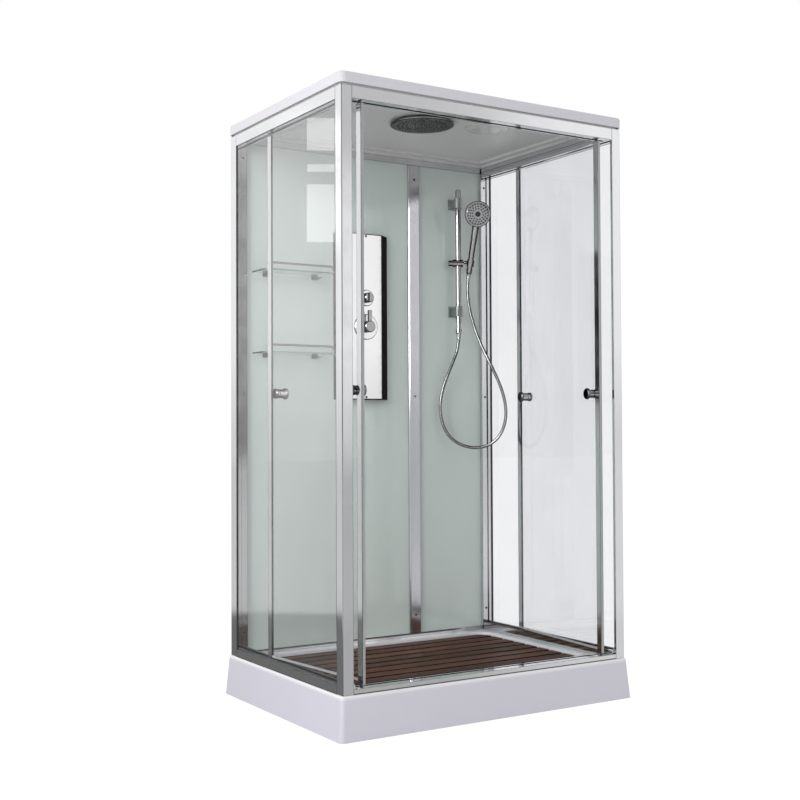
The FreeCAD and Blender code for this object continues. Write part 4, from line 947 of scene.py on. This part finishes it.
    def ferrule(self, name: str, end: Vector, following: Vector, body: str) -> bpy.types.Object:
        """Make the crimped sleeve at one end of the hose.

        Args:
            name: The piece's name.
            end: The hose's end.
            following: The next corner of the hose's line.
            body: The body that the sleeve moves with.

        Returns:
            The sleeve.
        """
        shape = bmesh.new()
        half = [(self.diameter / 2.0 + beyond, height) for beyond, height in self.crimp]
        along = (following - end).normalized()
        turn = Vector((0.0, 0.0, 1.0)).rotation_difference(along).to_matrix().to_4x4()
        Workshop.turn(shape, half + [half[0]], Matrix.Translation(end) @ turn)
        return Workshop.settle(shape, name, CHROME, body, "chrome")

    def build(self) -> None:
        """Make the hose with its wire and its two sleeves, in place of the CAD tube."""
        low, high, neck = self.stretches()
        rising = ("cabin", "slider")
        outlet, hand = low[0].z, high[-1].z
        # Heights of the loop's lowest point and of the place where the two stretches meet, passed on to the
        # stretches.
        sink = outlet - 2.0 * (outlet - min(point.z for point in low))
        share = (outlet - high[0].z) / (outlet - sink)
        lead = (high[0].z - share * hand) / (1.0 - share)
        ends = [Vector(corner) for corner in self.corners]
        sleeve = self.ferrule("hose_sleeve_low", ends[0], ends[1], "cabin")
        tube = self.stretch("low", low, rising, (outlet, sink), sleeve)
        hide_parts("hose")
        sleeve = self.ferrule("hose_sleeve_high", ends[-1], ends[-2], "hand_shower")
        self.stretch("high", high[::-1], rising, (lead, hand))
        self.stretch("neck", neck[::-1], ("slider", "holder"), (hand, neck[-1].z - self.held), sleeve)


@dataclass
class Tray:
    """The acrylic tray with its feet and its waste.

    Attributes:
        nut_drop: How far the lock nuts lie below the top of the feet.
        foot_columns: The feet along the width, in two rows.
        foot_pad: The distance from the outer edge of a foot to its stem.
    """

    nut_radius: float = 0.012
    nut_height: float = 0.008
    nut_drop: float = 0.012
    foot_columns: int = 3
    foot_pad: float = 0.030

    def build(self) -> None:
        """Make the lock nuts on the stems of the feet."""
        low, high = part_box("tray_feet")
        pad = self.foot_pad
        shape = bmesh.new()
        for column in range(self.foot_columns):
            for row in (low.y + pad, high.y - pad):
                x = low.x + pad + (high.x - low.x - 2.0 * pad) * column / (self.foot_columns - 1)
                foot = Matrix.Translation((x, row, high.z - self.nut_drop - self.nut_height))
                Workshop.nub(shape, foot, self.nut_radius, self.nut_radius, self.nut_height, HEXAGON)
        Workshop.settle(shape, "foot_lock_nuts", CHROME, "cabin", "chrome")

    def dress(self) -> None:
        """Finish the tray, its feet and its waste."""
        Workshop.dress(ACRYLIC, "tray")
        Workshop.dress(BLACK_PLASTIC, "tray_feet", "waste")
        Workshop.dress(CHROME, "waste_cover")


@dataclass
class Deck:
    """The slatted wooden deck in the tray."""

    slat_pitch: float = 0.075
    dark: Colour = (0.050, 0.022, 0.013)
    light: Colour = (0.130, 0.062, 0.039)
    # Painted shade on the narrow sides of the slats and battens, where the gaps between them lie.
    side_shade: Colour = (0.006, 0.004, 0.003)

    def dress(self) -> None:
        """Finish the slats and the battens under them."""
        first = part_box("deck_slats")[0]
        tones = (self.dark, self.light, self.side_shade, self.slat_pitch)
        Workshop.dress(OiledWood("oiled_slats", *tones, first.y, Axis.X), "deck_slats")
        Workshop.dress(OiledWood("oiled_battens", *tones, first.x, Axis.Y), "deck_battens")


@dataclass
class Framework:
    """Posts, rails and the joint profile of the back wall, with their gaskets, seals and black strips of
    painted shade.

    Attributes:
        lip: How far a gasket stands out from its pane.
        strip: How far it reaches from its post.
        seal: How far a seal stands out from its rail.
        foot_shade_strip: The height of the black strip at a rail's foot, which is painted shade for the gap
            at the tray.
        seal_spans: The seals beside a guide channel, by their distance from the cabin's middle.
    """

    lip: float = 0.0018
    lip_round: float = 0.0004
    strip: float = 0.0035
    seal: float = 0.001
    seal_round: float = 0.0003
    foot_shade_strip: float = 0.003
    seal_spans: tuple[tuple[float, float], ...] = ((0.5445, 0.5565), (0.572, 0.588))

    @staticmethod
    def between_posts(side: Side) -> tuple[float, float]:
        """Give where one side's opening starts and ends along the depth."""
        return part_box(side.of("post_front"))[1].y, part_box(side.of("post_back"))[0].y

    def gasket(self, side: Side) -> None:
        """Make the black gasket strips beside one fixed side pane.

        Args:
            side: The cabin's side.
        """
        pane_low, pane_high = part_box(side.of("pane"))
        front, back = self.between_posts(side)
        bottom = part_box(side.of("rail_bottom"))[1].z
        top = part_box(side.of("rail_top"))[0].z
        shape = bmesh.new()
        for low_x, high_x in ((pane_low.x - self.lip, pane_low.x), (pane_high.x, pane_high.x + self.lip)):
            for low_y, high_y in ((front, front + self.strip), (back - self.strip, back)):
                Workshop.bar(shape, (low_x, low_y, bottom), (high_x, high_y, top), self.lip_round)
        Workshop.settle(shape, side.of("pane_gasket"), GASKET, "cabin", "black_plastic")

    def rail_seals_and_shade(self, side: Side) -> None:
        """Make two black seals beside the guide channel of one bottom side rail, and at its foot a black
        strip as painted shade for the gap at the tray.

        Args:
            side: The cabin's side.
        """
        low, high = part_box(side.of("rail_bottom"))
        front, back = self.between_posts(side)
        outward, face = (-1.0, low.x) if side is Side.LEFT else (1.0, high.x)
        spans = [(outward * near, outward * far, high.z, self.seal) for near, far in self.seal_spans]
        # The strip at the rail's foot is painted shade for the gap at the tray.
        spans.append((face, face + outward * self.seal, low.z, self.foot_shade_strip))
        shape = bmesh.new()
        for *edges, foot, height in spans:
            first, last = sorted(edges)
            Workshop.bar(shape, (first, front, foot), (last, back, foot + height), self.seal_round)
        Workshop.settle(shape, side.of("rail_seals_and_shade"), GASKET, "cabin", "black_plastic")

    def sill_shade_strip(self) -> None:
        """Make the black strip at the foot of the front sill, as painted shade for the gap at the tray."""
        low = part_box("sill_front")[0]
        left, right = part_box("post_front_left")[1].x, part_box("post_front_right")[0].x
        shape = bmesh.new()
        Workshop.bar(shape, (left, low.y - self.seal, low.z), (right, low.y, low.z + self.foot_shade_strip),
                     self.seal_round)
        Workshop.settle(shape, "sill_shade_strip", GASKET, "cabin", "black_plastic")

    def build(self) -> None:
        """Make the gaskets, the seals and the strips of painted shade of both sides and of the front."""
        for side in Side:
            self.gasket(side)
            self.rail_seals_and_shade(side)
        self.sill_shade_strip()

    def dress(self) -> None:
        """Finish each profile with its lines along its run."""
        Workshop.dress(METAL_RUN[Axis.Z], "post_front_left", "post_front_right", "post_back_left",
                       "post_back_right", "wall_joint")
        Workshop.dress(METAL_RUN[Axis.Y], "rail_top_left", "rail_top_right", "rail_bottom_left",
                       "rail_bottom_right")
        Workshop.dress(METAL_RUN[Axis.X], "rail_top_front", "sill_front", "rail_top_back", "rail_bottom_back")
        Workshop.dress(SCREW_STEEL, "screws")


@dataclass
class Walls:
    """The fixed panes at the sides and the painted panels at the back."""

    def dress(self) -> None:
        """Finish the panes and the panels."""
        for side in Side:
            Workshop.dress(SIDE_GLASS[side], side.of("pane"))
            Workshop.dress(WALL_GLASS, side.of("wall_panel"))


@dataclass
class NozzleRings:
    """Rings of small rubber nozzles on a round spray face.

    Attributes:
        first: The radius of the innermost ring.
        step: The distance between rings.
        rings: How many rings.
        spacing: The distance between nozzles on a ring.
        wide: The radius of a nozzle's foot.
        narrow: The radius of its tip.
        height: Its height.
        sides: Its sides.
    """

    first: float
    step: float
    rings: int
    spacing: float
    wide: float
    narrow: float
    height: float
    sides: int = 8

    def build(self, shape: bmesh.types.BMesh, face: Matrix) -> None:
        """Add the nozzles to a bmesh.

        Args:
            shape: The bmesh.
            face: Puts the face's middle and its outward axis, Z, in the cabin.
        """
        for ring in range(self.rings):
            radius = self.first + self.step * ring
            count = max(1, round(FULL_TURN * radius / self.spacing))
            for place in range(count):
                angle = FULL_TURN * (place + 0.5 * (ring % 2)) / count
                spot = Matrix.Translation((radius * math.cos(angle), radius * math.sin(angle), 0.0))
                Workshop.nub(shape, face @ spot, self.wide, self.narrow, self.height, self.sides)


@dataclass
class Roof:
    """Roof cover, moulded ceiling, rain head and lamp.

    Attributes:
        corner: The radius of the cover's corners, seen from above.
        corner_edge: The radius of its upper edge.
        corner_wall: The thickness of the closed corner.
        corner_play: How far the closed corner stays inside the cover's outer faces.
        rim: The thickness of the rain head's rim.
    """

    corner: float = 0.022
    corner_edge: float = 0.008
    corner_wall: float = 0.0045
    corner_play: float = 0.0001
    corner_steps: int = 16
    edge_steps: int = 4
    rim: float = 0.0035
    rim_parts: int = 10
    rim_steps: int = 64
    nozzles: NozzleRings = field(default_factory=lambda: NozzleRings(
        0.012, 0.0155, 6, 0.0165, 0.0026, 0.0017, 0.0022))

    def corner_outline(self, low: float, high: float) -> Outline:
        """Give the section of the cover's rounded corner.

        Args:
            low: The cover's lower edge.
            high: Its top.

        Returns:
            Distance from the corner's own axis and height of each point.
        """
        outer, bend = self.corner - self.corner_play, self.corner_edge - self.corner_play
        away, height = outer - bend, high - self.corner_play - bend
        turns = [QUARTER_TURN * part / self.edge_steps for part in range(self.edge_steps + 1)]
        arc = [(away + bend * math.cos(turn), height + bend * math.sin(turn)) for turn in turns]
        foot, inner = low + self.corner_play, outer - self.corner_wall
        return [(outer, foot), *arc, (away, high - self.corner_wall), (inner, height), (inner, foot)]

    def corners(self) -> None:
        """Make the rounded corners of the cover, which close its hollow where the CAD cover leaves a slit."""
        low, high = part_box("roof_cover")
        outline = self.corner_outline(low.z, high.z)
        shape = bmesh.new()
        for x, y, quarter in ((low.x, low.y, 2), (high.x, low.y, 3), (high.x, high.y, 0), (low.x, high.y, 1)):
            axis_x = x + math.copysign(self.corner, -x)
            axis_y = y + math.copysign(self.corner, -y)
            rows = []
            for step in range(self.corner_steps + 1):
                turn = QUARTER_TURN * (quarter + step / self.corner_steps)
                along, across = math.cos(turn), math.sin(turn)
                rows.append([shape.verts.new((axis_x + away * along, axis_y + away * across, z))
                             for away, z in outline])
            for row, following in zip(rows, rows[1:]):
                for here in range(len(outline)):
                    there = (here + 1) % len(outline)
                    shape.faces.new((row[here], row[there], following[there], following[here]))
            shape.faces.new(rows[0])
            shape.faces.new(rows[-1])
        Workshop.settle(shape, "roof_corners", ROOF_SHEET, "cabin", "roof_plastic")

    def build(self) -> None:
        """Make the cover's corners, the rain head's nozzles and its polished rim."""
        self.corners()
        low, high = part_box("rain_head")
        middle = (low + high) / 2.0
        radius, thick = (high.x - low.x) / 2.0, self.rim * 0.5
        face = Matrix.Translation((middle.x, middle.y, low.z)) @ Matrix.Rotation(math.pi, 4, "X")
        shape = bmesh.new()
        self.nozzles.build(shape, face)
        Workshop.settle(shape, "rain_nozzles", NOZZLE_RUBBER, "cabin", "black_plastic")
        ring = bmesh.new()
        turns = [FULL_TURN * part / self.rim_parts for part in range(self.rim_parts + 1)]
        half = [(radius + thick * math.cos(turn), thick * math.sin(turn) - self.rim) for turn in turns]
        Workshop.turn(ring, half, face, self.rim_steps)
        Workshop.settle(ring, "rain_rim", CHROME, "cabin", "chrome")

    def dress(self) -> None:
        """Finish the roof, the ceiling and what hangs from it."""
        Workshop.dress(ROOF_SHEET, "roof_cover")
        Workshop.dress(CEILING_SHEET, "ceiling")
        Workshop.dress(RAIN_STEEL, "rain_head")
        Workshop.dress(LAMP_COVER, "ceiling_lamp")


@dataclass
class Shelves:
    """The two glass shelves with their gallery rails and brackets."""

    def dress(self) -> None:
        """Finish the plates, the rails and the brackets."""
        Workshop.dress(SHELF_GLASS, "shelf_plates")
        Workshop.dress(SHADED_CHROME, "shelf_rails")
        Workshop.dress(CHROME, "shelf_brackets")


@dataclass
class Column:
    """The mixer column on the back wall."""

    nut_radius: float = 0.0165
    nut_height: float = 0.007
    nut_play: float = 0.0002

    def build(self) -> None:
        """Make the lock nuts of the inlet tails behind the wall."""
        low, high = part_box("inlet_tails")
        radius = (high.z - low.z) / 2.0
        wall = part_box("wall_panel_left")[1].y
        inner, outer, height = radius + self.nut_play, self.nut_radius, self.nut_height
        half = [(inner, 0.0), (outer, 0.0), (outer, height), (inner, height), (inner, 0.0)]
        aim = Matrix.Rotation(-QUARTER_TURN, 4, "X")
        shape = bmesh.new()
        for x in (low.x + radius, high.x - radius):
            place = Matrix.Translation((x, wall, (low.z + high.z) / 2.0)) @ aim
            Workshop.turn(shape, half, place, HEXAGON)
        Workshop.settle(shape, "inlet_lock_nuts", CHROME, "cabin", "chrome")

    def dress(self) -> None:
        """Finish the column and its controls."""
        Workshop.dress(COLUMN_SHELL, "column_body")
        Workshop.dress(COLUMN_FACE, "column_plate")
        Workshop.dress(CHROME, "inlet_tails", "valve_rings")
        Workshop.dress(SHADED_CHROME, "mixer_lever", "diverter_knob")


@dataclass
class HandShower:
    """Riser rail, slider, holder and hand shower.

    Attributes:
        turn: The spray face's turn about Z.
        tilt: Its turn about X.
        lean: Its turn about Y.
        lift: How far the face lies before the middle of its node.
        disc: The radius of the centre disc.
        disc_flat: The share of that radius that is flat.
        disc_heights: The heights of the disc's foot, edge and top.
        ring: The inner radius of the trim ring.
        trim: The ring's outline: how far beyond that radius, and how high over the face.
    """

    turn: float = math.radians(-32.0)
    tilt: float = math.radians(12.0)
    lean: float = math.radians(8.0)
    lift: float = 0.0026
    disc: float = 0.011
    disc_flat: float = 0.75
    disc_heights: tuple[float, float, float] = (-0.0004, 0.0006, 0.0014)
    ring: float = 0.044
    ring_steps: int = 48
    trim: Outline = field(default_factory=lambda: [
        (0.0, -0.0005), (0.0008, 0.0008), (0.0022, 0.0004), (0.0026, -0.0008)])
    nubs: NozzleRings = field(default_factory=lambda: NozzleRings(
        0.0225, 0.0092, 3, 0.0118, 0.0034, 0.0027, 0.0018))

    def face(self) -> Matrix:
        """Give the middle of the spray face, with Z away from it.

        Returns:
            The place.
        """
        low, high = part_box("hand_spray")
        pose = (Matrix.Rotation(self.turn, 4, "Z") @ Matrix.Rotation(self.tilt, 4, "X")
                @ Matrix.Rotation(self.lean, 4, "Y"))
        outward = pose @ Matrix.Rotation(QUARTER_TURN, 4, "X")
        return Matrix.Translation((low + high) / 2.0) @ outward @ Matrix.Translation((0.0, 0.0, self.lift))

    def build(self) -> None:
        """Make the nozzles, the centre disc and the chromed ring of the spray face."""
        face = self.face()
        shape = bmesh.new()
        self.nubs.build(shape, face)
        foot, edge, top = self.disc_heights
        flat = self.disc * self.disc_flat
        disc = [(0.0, top), (flat, top), (self.disc, edge), (self.disc, foot), (0.0, foot)]
        Workshop.turn(shape, disc, face)
        Workshop.settle(shape, "spray_nozzles", NOZZLE_RUBBER, "hand_shower", "black_plastic")
        ring = bmesh.new()
        trim = [(self.ring + beyond, height) for beyond, height in self.trim]
        Workshop.turn(ring, trim + [trim[0]], face, self.ring_steps)
        Workshop.settle(ring, "spray_trim", CHROME, "hand_shower", "chrome")

    def dress(self) -> None:
        """Finish the rail, its fittings and the hand shower."""
        Workshop.dress(CHROME, "riser", "riser_nut")
        Workshop.dress(HAND_CHROME, "slider", "holder", "hand_shower", "hand_nut")
        Workshop.dress(CHROMED_PLASTIC, "riser_brackets")
        Workshop.dress(SPRAY_PLASTIC, "hand_spray")


@dataclass
class Doors:
    """The two swing-slide doors.

    Attributes:
        lean: The angle of an open door to the cabin's side.
        knob_half: Half the length of a knob.
        knob_shift: How far a knob's middle lies inwards of the pane's.
        neck: The inner radius of a sleeve.
        sleeve: Its outer radius.
        foot: How far from the middle of the pane a sleeve starts.
        inside: Where the inner head starts at the neck and at the sleeve's outer face.
        outside: The same for the outer head.
        rim: The radius of the rim about an inner head.
        rim_span: Where that rim starts and ends.
    """

    lean: float = math.radians(5.78)
    knob_radius: float = 0.018
    knob_bevel: float = 0.003
    knob_half: float = 0.028
    knob_shift: float = 0.008
    neck: float = 0.0082
    sleeve: float = 0.0157
    sleeve_edge: float = 0.0005
    foot: float = 0.0032
    inside: tuple[float, float] = (0.0179, 0.0246)
    outside: tuple[float, float] = (-0.0079, -0.0101)
    rim: float = 0.0208
    rim_play: float = 0.0001
    rim_span: tuple[float, float] = (0.0272, 0.0326)

    def knob_places(self, side: Side) -> list[Matrix]:
        """Give each knob's place at rest: Z runs inwards from the middle of the pane.

        Args:
            side: The door.

        Returns:
            The places of the trailing and the leading knob.
        """
        low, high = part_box(side.of("door_knobs"))
        along, across = math.cos(self.lean), math.sin(self.lean)
        wide = self.knob_half * along + (self.knob_radius - self.knob_bevel) * across
        deep = self.knob_radius * along + (self.knob_half - self.knob_bevel) * across
        outer, inner = low.x + wide, high.x - wide
        inward = Vector((along, across, 0.0))
        if side is Side.RIGHT:
            outer, inner = inner, outer
            inward.x = -along
        middle = (low.z + high.z) / 2.0
        spots = Vector((outer, high.y - deep, middle)), Vector((inner, low.y + deep, middle))
        aim = inward.to_track_quat("Z", "Y").to_matrix().to_4x4()
        return [Matrix.Translation(spot - self.knob_shift * inward) @ aim for spot in spots]

    def collar(self, ends: tuple[float, float]) -> Outline:
        """Give the closed half outline of a sleeve from the pane to a knob's head.

        Args:
            ends: Where the head starts at the neck and at the sleeve's outer face.

        Returns:
            Radius and height of each corner.
        """
        foot = math.copysign(self.foot, ends[0])
        edge = math.copysign(self.foot + self.sleeve_edge, ends[0])
        return [(self.neck, foot), (self.sleeve - self.sleeve_edge, foot), (self.sleeve, edge),
                (self.sleeve, ends[1]), (self.neck, ends[0]), (self.neck, foot)]

    def rim_outline(self) -> Outline:
        """Give the closed half outline of the rim about an inner head.

        Returns:
            Radius and height of each corner.
        """
        low, high = self.rim_span
        inner, edge = self.knob_radius + self.rim_play, self.rim - self.sleeve_edge
        return [(inner, low), (edge, low), (self.rim, low + self.sleeve_edge),
                (self.rim, high - self.sleeve_edge), (edge, high), (inner, high), (inner, low)]

    def build(self) -> None:
        """Make the sleeves about the knobs' necks and the rims about the inner heads."""
        for side in Side:
            collars, rims = bmesh.new(), bmesh.new()
            for place in self.knob_places(side):
                Workshop.turn(collars, self.collar(self.inside), place)
                Workshop.turn(collars, self.collar(self.outside), place)
                Workshop.turn(rims, self.rim_outline(), place)
            Workshop.settle(collars, side.of("knob_sleeves"), CHROME, side.of("door"), "chrome")
            Workshop.settle(rims, side.of("knob_rims"), SHADED_CHROME, side.of("door"), "chrome")

    def dress(self) -> None:
        """Finish the panes, profiles, seals, knobs, guides and corner pins of both doors."""
        for side in Side:
            Workshop.dress(SIDE_GLASS[side], side.of("door_pane"))
            Workshop.dress(METAL_RUN[Axis.Z], side.of("door_lead"), side.of("door_trail"))
            Workshop.dress(CLEAR_SEAL, side.of("door_seals"))
            Workshop.dress(SHADED_CHROME, side.of("door_knobs"))
            Workshop.dress(CHROME, side.of("corner_pin"))
            Workshop.dress(NYLON, side.of("door_guides"))


@dataclass(frozen=True)
class Lamp:
    """A soft square lamp, which polished pieces don't show."""

    name: str
    spot: Point
    size: float
    power: float
    aim: Point = (0.0, 0.0, 1.0)

    def hang(self) -> None:
        """Hang the lamp, with its face toward its aim."""
        data = bpy.data.lights.new(self.name, "AREA")
        data.size = self.size
        data.energy = self.power
        lamp = bpy.data.objects.new(self.name, data)
        way = Vector(self.aim) - Vector(self.spot)
        turn = way.to_track_quat("-Z", "Y").to_matrix().to_4x4()
        lamp.matrix_world = Matrix.Translation(self.spot) @ turn
        lamp.visible_glossy = False
        bpy.context.scene.collection.objects.link(lamp)


@dataclass
class Studio:
    """Floor, surroundings, lamps and camera.

    Attributes:
        reach: How far the camera sees.
        floor_glow: The share of the floor that glows to the eye; the rest takes the shadow.
        floor_white: The glow that the camera sees.
        floor_edge: The distances over which the near floor's greys go over to the far floor's.
        near_floor: Greys that polished pieces show, by degrees from straight ahead of the cabin, darker than
            the far floor's as painted shade near the cabin.
        far_floor: The same for the floor further away.
        haze: The height where the cards are at full strength, and their strength at the horizon.
        low_cards: The greys of the cards near the horizon, by degrees from straight ahead.
        high_cards: The same for the cards above.
        card_edge: The heights over which the low cards go over to the high ones.
        window_side: The windows' two sides, in degrees from straight ahead.
        windows: The lower and upper edge of each row of windows, in degrees over the horizon.
    """

    lens: float = 54.74
    sensor: float = 36.0
    reach: float = 200.0
    eye: Point = (-2.5005, -3.8215, 0.9947)
    yaw: float = 0.5593
    pitch: float = 0.0237
    roll: float = -0.0044
    white: Colour = (1.0, 1.0, 1.0)
    floor_size: float = 60.0
    floor_glow: float = 0.88
    floor_paint: Colour = (0.82, 0.82, 0.82)
    floor_white: Colour = (1.1, 1.1, 1.1)
    floor_edge: tuple[float, float] = (2.62, 2.8)
    near_floor: Greys = field(default_factory=lambda: [
        (-180.0, 0.1), (-50.0, 0.1), (-25.0, 0.45), (12.0, 0.45), (42.0, 0.75), (75.0, 0.75), (110.0, 0.5),
        (180.0, 0.1)])
    far_floor: Greys = field(default_factory=lambda: [
        (-180.0, 0.68), (-50.0, 0.68), (-25.0, 0.5), (30.0, 0.5), (42.0, 0.85), (180.0, 0.8)])
    haze: tuple[float, float] = (0.07, 0.76)
    sky_light: float = 0.60
    low_cards: Greys = field(default_factory=lambda: [
        (-180.0, 1.0), (-52.0, 1.0), (-46.0, 0.02), (8.0, 0.02), (20.0, 0.1), (25.6, 0.06), (28.0, 1.0),
        (59.0, 1.0), (62.0, 0.1), (68.0, 0.1), (71.0, 1.0), (180.0, 1.0)])
    high_cards: Greys = field(default_factory=lambda: [
        (-180.0, 1.0), (-52.0, 1.0), (-46.0, 0.02), (6.0, 0.02), (11.0, 0.58), (36.0, 0.62), (38.5, 1.0),
        (180.0, 1.0)])
    card_edge: tuple[float, float] = (math.sin(math.radians(11.0)), math.sin(math.radians(13.0)))
    window_side: tuple[float, float] = (-152.3, -151.0)
    windows: tuple[tuple[float, float], ...] = ((8.75, 11.4), (11.97, 12.32), (12.95, 14.4))
    window_light: float = 1.4
    lamps: tuple[Lamp, ...] = (
        Lamp("key_lamp", (-4.2, -1.2, 2.4), 2.4, 90.0), Lamp("front_lamp", (1.2, -4.6, 2.6), 2.0, 16.0))

    def camera(self) -> None:
        """Stand the camera where the photograph was taken."""
        ahead = Vector((math.sin(self.yaw) * math.cos(self.pitch), math.cos(self.yaw) * math.cos(self.pitch),
                        math.sin(self.pitch)))
        level = Vector((math.cos(self.yaw), -math.sin(self.yaw), 0.0))
        above = level.cross(ahead)
        right = level * math.cos(self.roll) + above * math.sin(self.roll)
        up = above * math.cos(self.roll) - level * math.sin(self.roll)
        data = bpy.data.cameras.new("camera")
        data.lens = self.lens
        data.sensor_width = self.sensor
        data.clip_end = self.reach
        camera = bpy.data.objects.new("camera", data)
        turn = Matrix((right, up, -ahead)).transposed().to_4x4()
        camera.matrix_world = Matrix.Translation(self.eye) @ turn
        bpy.context.scene.collection.objects.link(camera)
        bpy.context.scene.camera = camera

    @staticmethod
    def seen(sheet: NodeSheet) -> Socket:
        """Give 1 for rays that show the background: camera, glossy and transmission rays.

        Args:
            sheet: The node sheet.

        Returns:
            1 for these rays and 0 for others.
        """
        rays = sheet.add("ShaderNodeLightPath").outputs
        glossy = sheet.math("MAXIMUM", rays["Is Camera Ray"], rays["Is Glossy Ray"])
        return sheet.math("MAXIMUM", glossy, rays["Is Transmission Ray"])

    @staticmethod
    def mirrored(sheet: NodeSheet) -> Socket:
        """Give 1 for rays that a polished piece has thrown back."""
        rays = sheet.add("ShaderNodeLightPath").outputs
        return sheet.math("MINIMUM", rays["Glossy Depth"], 1.0)

    @staticmethod
    def part_of_turn(degrees: float) -> float:
        """Give a direction from degrees as 0 to 1, with 0.5 straight ahead of the cabin."""
        return degrees / 360.0 + 0.5

    @staticmethod
    def bearing(sheet: NodeSheet, way: bpy.types.Node) -> Socket:
        """Give the direction round the cabin.

        Args:
            sheet: The node sheet.
            way: The node that gives X and Y.

        Returns:
            The direction, 0 to 1, with 0.5 straight ahead of the cabin.
        """
        forward = sheet.math("MULTIPLY", way.outputs["Y"], -1.0)
        angle = sheet.math("ARCTAN2", way.outputs["X"], forward)
        return sheet.math("ADD", sheet.math("DIVIDE", angle, FULL_TURN), 0.5)

    @staticmethod
    def between(sheet: NodeSheet, value: Socket, low: float, high: float) -> Socket:
        """Give 1 where a value lies between two bounds."""
        return sheet.math("COMPARE", value, (low + high) / 2.0, (high - low) / 2.0)

    @classmethod
    def ring(cls, sheet: NodeSheet, place: Socket, cards: Greys) -> Socket:
        """Stand cards of several greys round the cabin.

        Args:
            sheet: The node sheet.
            place: The direction, 0 to 1 round the cabin.
            cards: Degrees from straight ahead of the cabin, and the grey there.

        Returns:
            The grey seen in that direction.
        """
        ramp = sheet.add("ShaderNodeValToRGB", {0: place})
        stops = ramp.color_ramp.elements
        while len(stops) < len(cards):
            stops.new(0.5)
        for stop, (degrees, grey) in zip(stops, cards):
            stop.position = cls.part_of_turn(degrees)
            stop.color = (grey, grey, grey, 1.0)
        return ramp.outputs[0]

    def window_glow(self, sheet: NodeSheet, place: Socket, height: Socket) -> Socket:
        """Give the light of the windows that the left pane mirrors.

        Args:
            sheet: The world's node sheet.
            place: The direction, 0 to 1 round the cabin.
            height: The sine of the height over the horizon.

        Returns:
            The light that the windows add.
        """
        across = self.between(sheet, place, *(self.part_of_turn(edge) for edge in self.window_side))
        upright = 0.0
        for row in self.windows:
            edges = [math.sin(math.radians(edge)) for edge in row]
            upright = sheet.math("ADD", upright, self.between(sheet, height, *edges))
        return sheet.math("MULTIPLY", sheet.math("MULTIPLY", across, upright), self.window_light)

    def surroundings(self) -> None:
        """Make the white studio with its grey and black cards, which only polished pieces show."""
        world = bpy.data.worlds.new("studio")
        bpy.context.scene.world = world
        world.use_nodes = True
        sheet = NodeSheet(world.node_tree)
        way = sheet.split(sheet.add("ShaderNodeTexCoord").outputs["Generated"])
        place, height = self.bearing(sheet, way), way.outputs["Z"]
        cards = sheet.blend(sheet.spread(height, *self.card_edge), self.ring(sheet, place, self.low_cards),
                            self.ring(sheet, place, self.high_cards))
        cards = sheet.math("MULTIPLY", cards, sheet.spread(height, 0.0, *self.haze))
        cards = sheet.math("ADD", cards, self.window_glow(sheet, place, height))
        shown = sheet.add("ShaderNodeBackground",
                          {"Color": sheet.blend(self.mirrored(sheet), self.white, cards)})
        light = sheet.add("ShaderNodeBackground", {"Color": (*self.white, 1.0), "Strength": self.sky_light})
        sheet.add("ShaderNodeOutputWorld", {
            "Surface": sheet.choose(self.seen(sheet), light.outputs[0], shown.outputs[0])})

    def floor_grey(self, sheet: NodeSheet) -> Socket:
        """Give the grey of the floor that polished pieces show, by direction and distance, with painted shade
        near the cabin.

        Args:
            sheet: The floor's node sheet.

        Returns:
            The grey.
        """
        point = sheet.position()
        place = self.bearing(sheet, sheet.split(point))
        away = sheet.vector("LENGTH", point).outputs["Value"]
        return sheet.blend(sheet.spread(away, *self.floor_edge), self.ring(sheet, place, self.near_floor),
                           self.ring(sheet, place, self.far_floor))

    def floor(self) -> None:
        """Lay the pale floor, which runs into the white background and keeps the shadow."""
        shape = bmesh.new()
        bmesh.ops.create_grid(shape, x_segments=1, y_segments=1, size=self.floor_size / 2.0)
        mesh = bpy.data.meshes.new("floor")
        shape.to_mesh(mesh)
        shape.free()
        paint = bpy.data.materials.new("pale_floor")
        paint.use_nodes = True
        sheet = NodeSheet(paint.node_tree)
        matt = sheet.add("ShaderNodeBsdfDiffuse", {"Color": (*self.floor_paint, 1.0)})
        glow = sheet.add("ShaderNodeEmission", {
            "Color": sheet.blend(self.mirrored(sheet), self.floor_white, self.floor_grey(sheet))})
        share = sheet.math("MULTIPLY", self.seen(sheet), self.floor_glow)
        sheet.surface(sheet.choose(share, matt.outputs[0], glow.outputs[0]))
        mesh.materials.append(paint)
        floor = bpy.data.objects.new("floor", mesh)
        bpy.context.scene.collection.objects.link(floor)

    def build(self) -> None:
        """Set up the whole studio."""
        bpy.context.scene.view_settings.view_transform = "Standard"
        self.camera()
        self.surroundings()
        self.floor()
        for lamp in self.lamps:
            lamp.hang()


def main() -> None:
    """Build the studio and every sub-assembly."""
    logging.basicConfig(level=logging.INFO, format="%(name)s: %(message)s")
    Studio().build()
    Hose().build()
    for part in (Tray(), Framework(), Roof(), Column(), HandShower(), Doors()):
        part.build()
        part.dress()
    for part in (Deck(), Walls(), Shelves()):
        part.dress()


if __name__ == "__main__":
    main()
